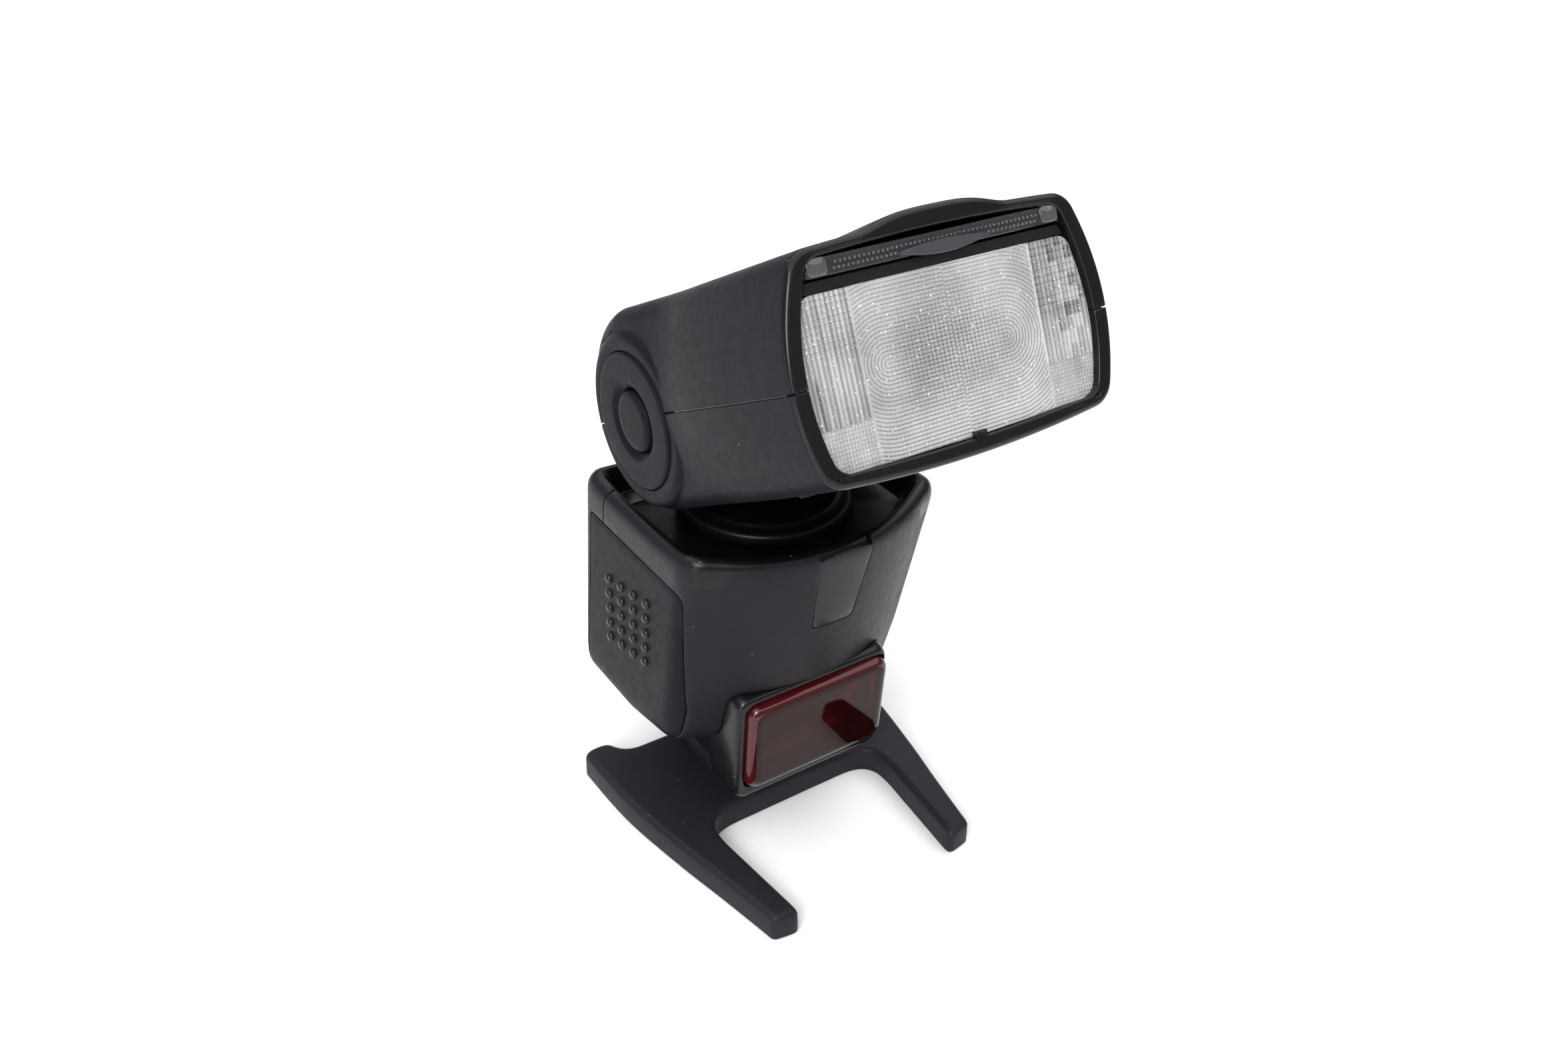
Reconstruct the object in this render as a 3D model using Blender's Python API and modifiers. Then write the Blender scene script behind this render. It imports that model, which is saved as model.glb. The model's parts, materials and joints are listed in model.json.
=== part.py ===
"""Speedlight flash on its table stand. Metres, +Z up, front faces -Y, ground at z = 0."""
import math
import bpy, bmesh
from mathutils import Matrix, Vector

for o in list(bpy.data.objects):
    bpy.data.objects.remove(o, do_unlink=True)
for c in list(bpy.data.collections):
    bpy.data.collections.remove(c)

MM = 0.001
# ---------------------------------------------------------------- driving dimensions (mm)
GAP = 0.30             # clearance between separate pieces
WALL = 2.0             # shell wall
PIVOT = (0.0, 2.13, 110.57)   # tilt axis (along X)
TILT = 28.0            # head tilt of the rest pose, degrees up
HEAD_L = 74.9          # tilt axis to front rim
HEAD_W = 36.1          # half width of the front rim at the seam
FACE_LEAN = -3.0       # lean of the front face, degrees
LENS_W, LENS_T, LENS_B = 32.6, 15.6, -15.6
FLANGE_R, FLANGE_X = 18.3, 31.0
COVER_R = 15.2
BODY_TOP = 88.4
STAND_T = 7.2
SWIVEL_Y = -2.0        # swivel axis (along Z)

col = bpy.data.collections.new("speedlight_flash")
bpy.context.scene.collection.children.link(col)
helpers = bpy.data.collections.new("helpers")
bpy.context.scene.collection.children.link(helpers)
helpers.hide_render = True


def link(ob, helper=False):
    if helper:
        helpers.objects.link(ob)
        ob.hide_render = True
        ob.display_type = "WIRE"
    else:
        col.objects.link(ob)
    return ob


def mesh_ob(name, verts, faces, helper=False, smooth=False):
    me = bpy.data.meshes.new(name)
    me.from_pydata([tuple(a * MM for a in v) for v in verts], [], faces)
    bm = bmesh.new()
    bm.from_mesh(me)
    bmesh.ops.remove_doubles(bm, verts=bm.verts, dist=2e-6)
    bmesh.ops.recalc_face_normals(bm, faces=bm.faces)
    bm.to_mesh(me)
    bm.free()
    me.update()
    ob = bpy.data.objects.new(name, me)
    if smooth:
        for p in me.polygons:
            p.use_smooth = True
    return link(ob, helper)


def loft(name, rings, helper=False, smooth=True):
    """A closed body through rings of equal count, with a fan cap at each end."""
    n = len(rings[0])
    verts = [v for r in rings for v in r]
    faces = []
    for k in range(len(rings) - 1):
        for i in range(n):
            j = (i + 1) % n
            faces.append((k * n + i, k * n + j, (k + 1) * n + j, (k + 1) * n + i))
    for k, flip in ((0, True), (len(rings) - 1, False)):
        c = len(verts)
        r = rings[k]
        verts.append(tuple(sum(p[a] for p in r) / n for a in range(3)))
        for i in range(n):
            j = (i + 1) % n
            faces.append((k * n + j, k * n + i, c) if flip else (k * n + i, k * n + j, c))
    return mesh_ob(name, verts, faces, helper, smooth)


def prism(name, poly, axis, lo, hi, helper=False, smooth=False):
    """poly: 2-D outline in the plane across the axis; x -> (y, z), y -> (x, z), z -> (x, y)."""
    def at(p, t):
        return {"x": (t, p[0], p[1]), "y": (p[0], t, p[1]), "z": (p[0], p[1], t)}[axis]
    n = len(poly)
    verts = [at(p, lo) for p in poly] + [at(p, hi) for p in poly]
    faces = [tuple(range(n)), tuple(range(n, 2 * n))[::-1]]
    faces += [(i, (i + 1) % n, n + (i + 1) % n, n + i) for i in range(n)]
    return mesh_ob(name, verts, faces, helper, smooth)


def box(name, x0, x1, y0, y1, z0, z1, bevel=0.0, segs=2, helper=False):
    ob = prism(name, [(x0, y0), (x1, y0), (x1, y1), (x0, y1)], "z", z0, z1, helper)
    if bevel:
        m = ob.modifiers.new("edge", "BEVEL")
        m.width = bevel * MM
        m.segments = segs
        m.limit_method = "ANGLE"
    return ob


def circle(cx, cy, r, n=24, a0=0.0):
    return [(cx + r * math.cos(a0 + 2 * math.pi * i / n), cy + r * math.sin(a0 + 2 * math.pi * i / n)) for i in range(n)]


def cyl(name, axis, c, r, lo, hi, n=24, helper=False):
    return prism(name, circle(c[0], c[1], r, n), axis, lo, hi, helper, smooth=False)


def turned(name, axis, c, prof, n=24, helper=False):
    """Round body about an axis: prof is a list of (t, r) along the axis."""
    def at(p, t):
        return {"x": (t, p[0], p[1]), "y": (p[0], t, p[1]), "z": (p[0], p[1], t)}[axis]
    return loft(name, [[at(p, t) for p in circle(c[0], c[1], r, n)] for t, r in prof], helper)


def ring(name, axis, c, ro, ri, lo, hi, n=24):
    """A washer."""
    def at(p, t):
        return {"x": (t, p[0], p[1]), "y": (p[0], t, p[1]), "z": (p[0], p[1], t)}[axis]
    rings = [circle(c[0], c[1], ro, n), circle(c[0], c[1], ri, n)]
    v = [at(p, lo) for p in rings[0]] + [at(p, hi) for p in rings[0]] + [at(p, hi) for p in rings[1]] + [at(p, lo) for p in rings[1]]
    f = []
    for k in range(4):
        for i in range(n):
            j = (i + 1) % n
            k2 = (k + 1) % 4
            f.append((k * n + i, k * n + j, k2 * n + j, k2 * n + i))
    return mesh_ob(name, v, f)


def rrect(x0, x1, y0, y1, r, n=4):
    pts = []
    for cx, cy, a in ((x1 - r, y1 - r, 0), (x0 + r, y1 - r, 90), (x0 + r, y0 + r, 180), (x1 - r, y0 + r, 270)):
        for i in range(n + 1):
            t = math.radians(a + 90 * i / n)
            pts.append((cx + r * math.cos(t), cy + r * math.sin(t)))
    return pts


def boolean(ob, other, op="DIFFERENCE"):
    m = ob.modifiers.new(op.lower(), "BOOLEAN")
    m.operation = op
    m.object = other
    m.solver = "EXACT"
    return ob


def bake(ob):
    """Applies the modifiers and drops flat leftovers."""
    dg = bpy.context.evaluated_depsgraph_get()
    bpy.context.view_layer.update()
    me = bpy.data.meshes.new_from_object(ob.evaluated_get(dg))
    ob.modifiers.clear()
    bm = bmesh.new()
    bm.from_mesh(me)
    bmesh.ops.remove_doubles(bm, verts=bm.verts, dist=4e-6)
    bmesh.ops.dissolve_degenerate(bm, edges=bm.edges, dist=4e-6)
    bmesh.ops.triangulate(bm, faces=[f for f in bm.faces if len(f.verts) > 4])
    bm.to_mesh(me)
    bm.free()
    ob.data = me
    return ob


def cut(ob, *others):
    for o in others:
        boolean(ob, o)
    return bake(ob)


def keep(ob, other):
    boolean(ob, other, "INTERSECT")
    return bake(ob)


def unite(ob, *others):
    for o in others:
        boolean(ob, o, "UNION")
    return bake(ob)


def dup(ob, name, helper=False):
    o = ob.copy()
    o.data = ob.data.copy()
    o.name = name
    link(o, helper)
    if not helper:
        o.hide_render = False
        o.display_type = "TEXTURED"
    return o


def to_helper(ob):
    col.objects.unlink(ob)
    helpers.objects.link(ob)
    ob.hide_render = True
    ob.display_type = "WIRE"
    return ob


MATS = {}


def mat(key, rgb, rough, metal=0.0, trans=0.0):
    if key not in MATS:
        m = bpy.data.materials.new(key)
        m.use_nodes = True
        b = m.node_tree.nodes["Principled BSDF"]
        b.inputs["Base Color"].default_value = (*rgb, 1)
        b.inputs["Roughness"].default_value = rough
        b.inputs["Metallic"].default_value = metal
        b.inputs["Transmission Weight"].default_value = trans
        MATS[key] = m
    return MATS[key]


PAINT = {}


def dress(ob, key, rgb, rough, metal=0.0, trans=0.0):
    m = mat(key, rgb, rough, metal, trans)
    ob.data.materials.clear()
    ob.data.materials.append(m)
    return ob


SHELL = ("shell_plastic", (0.030, 0.028, 0.032), 0.5)
GLOSS = ("gloss_black", (0.010, 0.010, 0.011), 0.22)
KEYS = ("key_rubber", (0.045, 0.045, 0.05), 0.6)
GREY = ("inner_plastic", (0.09, 0.09, 0.095), 0.55)
STEEL = ("steel", (0.62, 0.62, 0.60), 0.3, 1.0)
BRASS = ("brass_metal", (0.72, 0.52, 0.24), 0.3, 1.0)
CLEAR = ("clear_plastic", (0.93, 0.94, 0.95), 0.06, 0.0, 1.0)
SMOKE = ("smoked_plastic", (0.02, 0.018, 0.022), 0.08, 0.0, 0.4)
RED = ("red_filter", (0.28, 0.004, 0.008), 0.07, 0.0, 0.5)
ALU = ("bright_reflector", (0.9, 0.9, 0.9), 0.12, 1.0)
BOARD = ("circuit_board", (0.02, 0.12, 0.05), 0.5)

# ================================================================ BODY
# The body leans: everything goes rearward by LEAN mm per mm going down.
LEAN_F, LEAN_R, LEAN_D = 0.225, 0.185, 0.205


def body_ring(z, off=0.0, top=0.0):
    """Outline of the body at height z, drawn in by off; top pulls the rim in further."""
    k = 88.0 - z
    o = off + top
    w = 34.2 - 0.034 * k - o
    yr = 24.4 + LEAN_R * k - o
    yc = -35.3 + LEAN_F * k + o        # front at the middle
    ye = -26.6 + LEAN_F * 0.93 * k + o  # front near the corners
    rr = max(5.0 - 0.7 * o, 2.5)
    rf = max(7.5 - 0.7 * o, 3.5)
    pts = []
    for i in range(3):                 # rear, from left to right
        x = -(w - rr) + 2 * (w - rr) * i / 2
        pts.append((x, yr + 0.9 * (1 - (x / (w - rr)) ** 2)))
    for i in range(1, 4):
        t = math.radians(90 - 90 * i / 4)
        pts.append((w - rr + rr * math.cos(t), yr - rr + rr * math.sin(t)))
    pts.append((w, yr - rr))
    pts.append((w, 0.5 * (yr + ye)))
    pts.append((w, ye + rf))
    for i in range(1, 5):
        t = math.radians(-72 * i / 5)
        pts.append((w - rf + rf * math.cos(t), ye + rf + rf * math.sin(t)))
    x1 = w - rf + rf * math.cos(math.radians(-72))
    y1 = ye + rf + rf * math.sin(math.radians(-72))
    m = 8
    for i in range(m + 1):             # front bulge, right to left
        x = x1 - 2 * x1 * i / m
        u = abs(x / x1)
        y = y1 + (yc - y1) * (1 - u ** 2.0) ** 1.0
        pts.append((x, y))
    right = pts[3:13]
    pts += [(-x, y) for x, y in right[::-1]]
    return [(x, y, z) for x, y in pts]


def low(pts, z0):
    """Bends the lower edge: the belly rises toward the front."""
    return pts


def belly_z(y):
    # lower edge of the side wall, from rear (y ~ 33) to front (y ~ -15)
    return 25.0 + max(0.0, (8.0 - y)) * 0.20


def body_loft(name, off, z_top, z_bot, rim, helper=False):
    rings = []
    zs = [z_bot, z_bot + 0.8, z_bot + 2.2, z_bot + 4.6, z_bot + 9, 48, 62]
    ins = [5.5, 3.0, 1.3, 0.35, 0, 0, 0]
    if rim:
        zs += [76, z_top - 4.0, z_top - 2.0, z_top - 0.7, z_top]
        ins += [0, 0, 0.25, 1.0, 2.2]
    else:
        zs += [z_top - 2.0, z_top]
        ins += [0, 1.0]
    for z, t in zip(zs, ins):
        r = body_ring(z, off, t)
        out = []
        for x, y, zz in r:
            f = max(0.0, 1.0 - (zz - z_bot) / 22.0)
            lift = f * max(0.0, 10.0 - y) * 0.20 - f * 0.0
            if rim and zz > z_top - 4.5:
                # corners of the rim stand a little higher than its middle
                lift += 1.2 * min(1.0, abs(x) / 31.0) ** 4 * min(1.0, abs(y + 1.0) / 21.0) ** 4 * (zz - (z_top - 4.5)) / 4.5
            out.append((x, y, zz + lift))
        rings.append(out)
    return loft(name, rings, helper)


outer = body_loft("h_outer", 0.0, BODY_TOP, 24.5, True, helper=True)
inner = body_loft("h_inner", WALL, 80.3, 27.0, False, helper=True)
# well in the top, for the swivel collar
well_rings = []
for z, o in ((82.6, 6.4), (83.2, 5.6), (85.0, 5.0), (87.0, 4.3), (88.1, 3.4), (88.9, 2.3), (91.0, 0.2)):
    well_rings.append(body_ring(z, o))
well = loft("h_well", well_rings, helper=True)
whole = dup(outer, "h_whole", helper=True)
cut(whole, inner, well)
neck_hole = cyl("h_neckhole", "z", (0, SWIVEL_Y), 13.0, 78, 84, 32, helper=True)
cut(whole, neck_hole)

# seam between the front and the rear shell follows the lean
SEAM_Y = 13.0
def seam_poly(front, g):
    a = (SEAM_Y - g, 90 + 5)
    y_at = lambda z: SEAM_Y + LEAN_R * (85.5 - z)
    s = -g if front else g
    if front:
        return [(-80, 10), (y_at(10) + s, 10), (y_at(100) + s, 100), (-80, 100)]
    return [(90, 10), (90, 100), (y_at(100) + s, 100), (y_at(10) + s, 10)]
half_f = prism("h_half_f", seam_poly(True, GAP / 2), "x", -60, 60, helper=True)
half_r = prism("h_half_r", seam_poly(False, GAP / 2), "x", -60, 60, helper=True)

# battery door outline in the (y, z) plane of the left wall
def door_poly(g):
    top = [(20.2 + g, 79.6 + g), (-20.4 - g, 79.2 + g)]
    # rear edge and front edge follow the lean
    rear_low = (20.2 + g + LEAN_D * (79.6 - 8), 8)
    front_low = (-20.4 - g + 0.145 * (79.2 - 8), 8)
    return [top[1], top[0], rear_low, front_low][::-1]
door_cut = prism("h_door_cut", door_poly(GAP), "x", -50, -29.4, helper=True)
door_keep = prism("h_door_keep", door_poly(0.0), "x", -50, -29.7, helper=True)
door = dup(whole, "battery_door")
keep(door, door_keep)

front = dup(whole, "body_front_shell")
keep(front, half_f)
rear = dup(whole, "body_rear_shell")
keep(rear, half_r)

# openings of the front shell: sensor window, AF-assist window, foot
def fy(z):
    return -35.3 + LEAN_F * (88.0 - z)
def slab(name, poly_xz, d0, d1, helper=False, smooth=False):
    """Outline in (x, z), swept through the front wall between two depths behind the front line."""
    n = len(poly_xz)
    bow = lambda x: 8.0 * (x / 31.0) ** 2
    verts = [(x, fy(z) + bow(x) + d0, z) for x, z in poly_xz] + [(x, fy(z) + bow(x) + d1, z) for x, z in poly_xz]
    faces = [tuple(range(n)), tuple(range(n, 2 * n))[::-1]] + [(i, (i + 1) % n, n + (i + 1) % n, n + i) for i in range(n)]
    return mesh_ob(name, verts, faces, helper, smooth)
def win_poly(g):
    top = [(x, 86.4 + g + 0.0 * x * x) for x in (7.0 + g, 3.5, 0, -3.5, -7.0 - g)]
    return top + [(-5.7 - g, 67.0), (-5.0 - g, 65.6 - g), (5.0 + g, 65.6 - g), (5.7 + g, 67.0)]
win_hole = slab("h_win_hole", win_poly(GAP), -6, 7, helper=True)
sensor = slab("sensor_window", win_poly(0.0), 0.1, 2.0)
# AF-assist module: a housing that stands off the lower front
af_open = slab("h_af_open", rrect(-21.9, 21.9, 12, 48.3, 3), -8, 14, helper=True)
foot_hole = box("h_foot_hole", -17.2, 17.2, -13.2, 24.2, 10, 34, helper=True)
cut(front, door_cut, win_hole, af_open, foot_hole)
cut(rear, door_cut, foot_hole)

# grip dots on the door
dots = []
for r in range(5):
    for c in range(4):
        yy = 13.6 - 6.15 * c + 0.9 * r * 0.55 + 0.15 * r * c * 0.5
        zz = 64.3 + 1.25 * c - 4.6 * r
        xx = -(34.2 - 0.034 * (88 - zz))
        pr = [(xx + 0.8, 1.25), (xx - 0.35, 1.2), (xx - 0.75, 0.6)]
        dots.append((yy, zz, pr))
bm = bmesh.new()
for yy, zz, pr in dots:
    n = 6
    prev = None
    first = None
    for t, r in pr:
        ringv = [bm.verts.new((t * MM, (yy + r * math.cos(2 * math.pi * i / n)) * MM, (zz + r * math.sin(2 * math.pi * i / n)) * MM)) for i in range(n)]
        if prev:
            for i in range(n):
                bm.faces.new((prev[i], prev[(i + 1) % n], ringv[(i + 1) % n], ringv[i]))
        else:
            first = ringv
        prev = ringv
    bm.faces.new(first[::-1])
    bm.faces.new(prev)
bmesh.ops.recalc_face_normals(bm, faces=bm.faces)
me = bpy.data.meshes.new("h_dots")
bm.to_mesh(me)
bm.free()
dots_ob = link(bpy.data.objects.new("h_dots", me), helper=True)
unite(door, dots_ob)
for o in (door, front, rear):
    dress(o, *SHELL)
dress(sensor, *SMOKE)

# ---------------------------------------------------------------- AF-assist module
AFX = 19.4
def af_sec(y, z0, z1, xw, r):
    return [(p[0], y, p[1]) for p in rrect(-xw, xw, z0, z1, r, 4)]
def leany(y, z):
    return y + (43.4 - z) * 0.06
# housing: a tub open to the front, running back under the body
h_out = loft("h_af_out", [[(x, leany(y, z), z) for x, _, z in af_sec(0, z0, z1, xw, r)] for y, z0, z1, xw, r in
        ((-24.6, 16.2, 46.4, 20.8, 3.2), (-23.6, 15.9, 47.4, 21.3, 3.2), (-20.5, 15.7, 47.6, 21.5, 3.2), (-14.5, 16.3, 47.6, 21.5, 3.2), (-12.6, 17.4, 47.2, 21.0, 3.0))], helper=True)
h_in = loft("h_af_in", [[(x, leany(y, z), z) for x, _, z in af_sec(0, z0, z1, xw, r)] for y, z0, z1, xw, r in
        ((-34, 18.9, 45.0, 19.4, 2.6), (-14.4, 19.0, 45.0, 19.4, 2.6))], helper=True)
af_house = dup(h_out, "af_housing")
cut(af_house, h_in)
dress(af_house, *GLOSS)
red = loft("af_window", [[(x, leany(y, z), z) for x, _, z in af_sec(0, z0, z1, xw, r)] for y, z0, z1, xw, r in
        ((-27.3, 21.6, 42.4, 16.8, 1.8), (-27.0, 20.3, 43.7, 18.1, 2.3), (-26.2, 19.5, 44.4, 18.8, 2.5), (-25.0, 19.25, 44.65, 19.05, 2.5), (-17.0, 19.6, 44.65, 19.05, 2.5))])
red_in = loft("h_red_in", [[(x, leany(y, z), z) for x, _, z in af_sec(0, z0, z1, xw, r)] for y, z0, z1, xw, r in
        ((-24.6, 21.8, 42.2, 16.6, 1.6), (-13, 22.0, 42.2, 16.6, 1.6))], helper=True)
cut(red, red_in)
dress(red, *RED)
emitter = turned("af_emitter", "y", (9.0, 33.0), ((-22.9, 1.5), (-21.9, 3.4), (-19.5, 4.4), (-15.6, 4.4)), 16)
dress(emitter, *GREY)

# ---------------------------------------------------------------- body internals
tray = box("battery_tray", -28.6, 24.4, -7.6, 23.4, 34.0, 65.4, 0.8, 1)
bake(tray)
for i, (yy, zz) in enumerate(((0.5, 42.2), (15.3, 42.2), (0.5, 57.2), (15.3, 57.2))):
    cut(tray, cyl("h_bore%d" % i, "x", (yy, zz), 7.25, -40, 23.2, 16, helper=True))
dress(tray, *GREY)
plate_in = box("battery_contacts", 22.2, 22.9, -5.0, 5.0, 38.0, 61.0)
# the plate sits inside two bores, so it is two spring strips joined by the bridge behind: kept outside the tray instead
bpy.data.objects.remove(plate_in, do_unlink=True)
contacts = box("battery_contacts", 24.7, 25.3, -5.6, 21.4, 36.0, 63.4)
dress(contacts, *STEEL)
door_con = box("door_contacts", -29.3, -28.9, -4.6, 20.4, 38.2, 62.6)
dress(door_con, *STEEL)
cap = turned("main_capacitor", "x", (-15.2, 57.0), ((-16, 5.8), (-15.5, 6.5), (15.0, 6.5), (15.5, 5.8), (16, 5.8)), 20)
dress(cap, "capacitor_sleeve", (0.03, 0.03, 0.05), 0.35)
pcb = box("main_board", 26.6, 28.2, -8.5, 19.5, 38, 78)
dress(pcb, *BOARD)

# ---------------------------------------------------------------- rear panel (leans with the rear wall)
def ry(z):
    return 24.4 + LEAN_R * (88.0 - z) + 0.9


def rear_slab(name, poly, d0, d1, helper=False, bow=0.9):
    n = len(poly)
    b = lambda x: -bow * (x / 28.0) ** 2
    verts = [(x, ry(z) + b(x) + d0, z) for x, z in poly] + [(x, ry(z) + b(x) + d1, z) for x, z in poly]
    faces = [tuple(range(n)), tuple(range(n, 2 * n))[::-1]] + [(i, (i + 1) % n, n + (i + 1) % n, n + i) for i in range(n)]
    return mesh_ob(name, verts, faces, helper)


lcd_hole = rear_slab("h_lcd", rrect(-17.3, 17.3, 66.2, 80.0, 1.2, 2), -6, 6, helper=True)
holes = [lcd_hole]
lcd = rear_slab("lcd_window", rrect(-17.0, 17.0, 66.5, 79.7, 1.0, 2), -1.9, -0.15, bow=0.9)
dress(lcd, "lcd_clear", (0.75, 0.78, 0.72), 0.08, 0.0, 0.6)
lcd_m = rear_slab("lcd_module", rrect(-16.4, 16.4, 67.0, 79.2, 0.6, 2), -4.6, -2.3, bow=0.9)
dress(lcd_m, "lcd_grey", (0.30, 0.34, 0.28), 0.4)


def rear_key(name, cx, cz, w, h, r, out=0.9, key=KEYS):
    holes.append(rear_slab("h_" + name, rrect(cx - w / 2 - GAP, cx + w / 2 + GAP, cz - h / 2 - GAP, cz + h / 2 + GAP, r + GAP, 3), -6, 6, helper=True, bow=0.9))
    n = 4 * (3 + 1)
    def sec(m, d):
        return [(x, ry(z) - 0.9 * (cx / 28.0) ** 2 + d, z) for x, z in rrect(cx - w / 2 + m, cx + w / 2 - m, cz - h / 2 + m, cz + h / 2 - m, max(r - m, 0.2), 3)]
    ob = loft(name, [sec(-0.7, -3.35), sec(-0.7, -2.65), sec(0.0, -2.6), sec(0.0, out - 0.35), sec(0.35, out)], smooth=False)
    return dress(ob, *key)


rear_key("key_light", -13.2, 60.6, 6.4, 3.4, 1.6)
rear_key("key_mode", 0.0, 60.6, 6.4, 3.4, 1.6)
rear_key("key_sync", 13.2, 60.6, 6.4, 3.4, 1.6)
rear_key("key_zoom", -18.0, 50.0, 6.4, 3.4, 1.6)
rear_key("key_minus", -8.6, 50.0, 5.6, 5.6, 2.6)
rear_key("key_select", 0.0, 50.0, 7.6, 7.6, 3.6)
rear_key("key_plus", 8.6, 50.0, 5.6, 5.6, 2.6)
rear_key("test_button", -13.0, 38.6, 7.4, 7.4, 3.5, 0.8, ("pilot_amber", (0.55, 0.12, 0.03), 0.3, 0.0, 0.3))
# power slide switch: the slot is longer than its knob
SW = (7.0, 17.0, 36.6, 40.6)
holes.append(rear_slab("h_switch", rrect(SW[0], SW[1], SW[2], SW[3], 0.8, 2), -6, 6, helper=True))
def sw_sec(x0, x1, z0, z1, d):
    return [(x, ry(z) + d - 0.16, z) for x, z in rrect(x0, x1, z0, z1, 0.5, 2)]
switch = loft("power_switch", [sw_sec(SW[0] - 1.2, SW[0] + 5.8, SW[2] - 0.8, SW[3] + 0.8, -3.6), sw_sec(SW[0] - 1.2, SW[0] + 5.8, SW[2] - 0.8, SW[3] + 0.8, -2.7),
        sw_sec(SW[0] + 0.3, SW[0] + 4.9, SW[2] + 0.3, SW[3] - 0.3, -2.65), sw_sec(SW[0] + 0.3, SW[0] + 4.9, SW[2] + 0.3, SW[3] - 0.3, 0.7), sw_sec(SW[0] + 0.7, SW[0] + 4.5, SW[2] + 0.7, SW[3] - 0.7, 1.1)], smooth=False)
dress(switch, *KEYS)
cut(rear, *holes)
dress(rear, *SHELL)

# door hinge pin, in the groove at the rear edge of the door, along the lean
pin_dir = Vector((-0.034, -LEAN_D, 1)).normalized()
p0 = Vector((-31.65, 30.385, 36.5))
p1 = p0 + pin_dir * 30
def rod(name, a, b, r, n=12, helper=False):
    a, b = Vector(a), Vector(b)
    d = (b - a).normalized()
    u = d.orthogonal().normalized()
    w = d.cross(u)
    rings = [[tuple(q + u * r * math.cos(2 * math.pi * i / n) + w * r * math.sin(2 * math.pi * i / n)) for i in range(n)] for q in (a, b)]
    return loft(name, rings, helper)
hinge = rod("door_hinge_pin", p0, p1, 0.4, 8)
groove = [Vector((0, -0.4 * k, 0)) for k in range(3)]
cut(rear, *[rod("h_pin_groove_%d" % k, p0 - pin_dir * 6 + v, p1 + pin_dir * 0.6 + v, 0.55, 12, helper=True) for k, v in enumerate(groove)])
dress(hinge, *GLOSS)

# ================================================================ FOOT AND STAND
LOCK = (0.0, -6.9)
foot = loft("foot_block", [[(p[0], p[1], z) for p in rrect(-w, w, y0, y1, r, 3)] for z, w, y0, y1, r in
        ((12.9, 15.6, -9.6, 18.6, 3), (13.6, 16.3, -10.1, 19.2, 3), (20.0, 16.6, -10.1, 21.0, 3), (33.2, 16.6, -9.8, 23.0, 3))])
boolean(foot, box("h_lever_pocket", -20, 20, 6.3, 30, 15.2, 19.2, helper=True))
boolean(foot, cyl("h_lock_bore", "z", LOCK, 1.5, 10, 26, 14, helper=True))
bake(foot)
FPY = (-9.3, 9.3)
plate = box("foot_plate", -9.3, 9.3, FPY[0], FPY[1], 9.3, 11.3)
neckf = box("h_foot_neck", -6.2, 6.2, -9.3, 9.3, 11.0, 12.6, helper=True)
unite(plate, neckf)
PINS = {"contact_pin_center": (0.0, 0.4, 1.1), "contact_pin_1": (-3.5, 4.0, 0.7), "contact_pin_2": (3.5, 4.0, 0.7), "contact_pin_3": (-3.5, -2.8, 0.7), "contact_pin_4": (3.5, -2.8, 0.7)}
for k, (x, y, r) in PINS.items():
    boolean(plate, cyl("h_" + k, "z", (x, y), r + 0.3, 5, 15, 12, helper=True))
    boolean(foot, cyl("h2_" + k, "z", (x, y), r + 0.9, 5, 17.6, 12, helper=True))
    pn = turned(k, "z", (x, y), ((8.75, r * 0.5), (9.0, r), (13.6, r), (13.65, r + 0.5), (14.3, r + 0.5)), 10)
    dress(pn, *BRASS)
boolean(plate, cyl("h_lockhole", "z", LOCK, 1.5, 5, 15, 12, helper=True))
bake(plate)
bake(foot)
dress(plate, *STEEL)
dress(foot, *SHELL)

lock_pin = turned("lock_pin", "z", LOCK, ((9.6, 0.9), (9.9, 1.2), (22.0, 1.2)), 12)
dress(lock_pin, *STEEL)
LEVER = (0.0, 12.9)
lever = turned("lock_lever", "z", LEVER, ((15.5, 5.6), (15.8, 6.0), (18.6, 6.0), (18.9, 5.6)), 20)
arm_dir = math.radians(20)
arm_pts = []
for s_, w_ in ((2.0, 2.6), (14.6, 2.6), (16.0, 1.6)):
    arm_pts.append((s_, -w_))
for s_, w_ in ((16.0, 1.6), (14.6, 2.6), (2.0, 2.6)):
    arm_pts.append((s_, w_))
arm_pts = [(LEVER[0] + s_ * math.cos(arm_dir) - w_ * math.sin(arm_dir), LEVER[1] + s_ * math.sin(arm_dir) + w_ * math.cos(arm_dir)) for s_, w_ in arm_pts]
arm = prism("h_arm", arm_pts, "z", 15.7, 18.7, helper=True)
unite(lever, arm)
dress(lever, *KEYS)

# ---- stand
def catmull(pts, n=4):
    out = []
    for i in range(len(pts) - 1):
        p0 = pts[max(i - 1, 0)]
        p1, p2 = pts[i], pts[i + 1]
        p3 = pts[min(i + 2, len(pts) - 1)]
        for k in range(n):
            t = k / n
            out.append(tuple(0.5 * ((2 * p1[a]) + (-p0[a] + p2[a]) * t + (2 * p0[a] - 5 * p1[a] + 4 * p2[a] - p3[a]) * t * t + (-p0[a] + 3 * p1[a] - 3 * p2[a] + p3[a]) * t ** 3) for a in (0, 1)))
    out.append(pts[-1])
    return out


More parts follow.
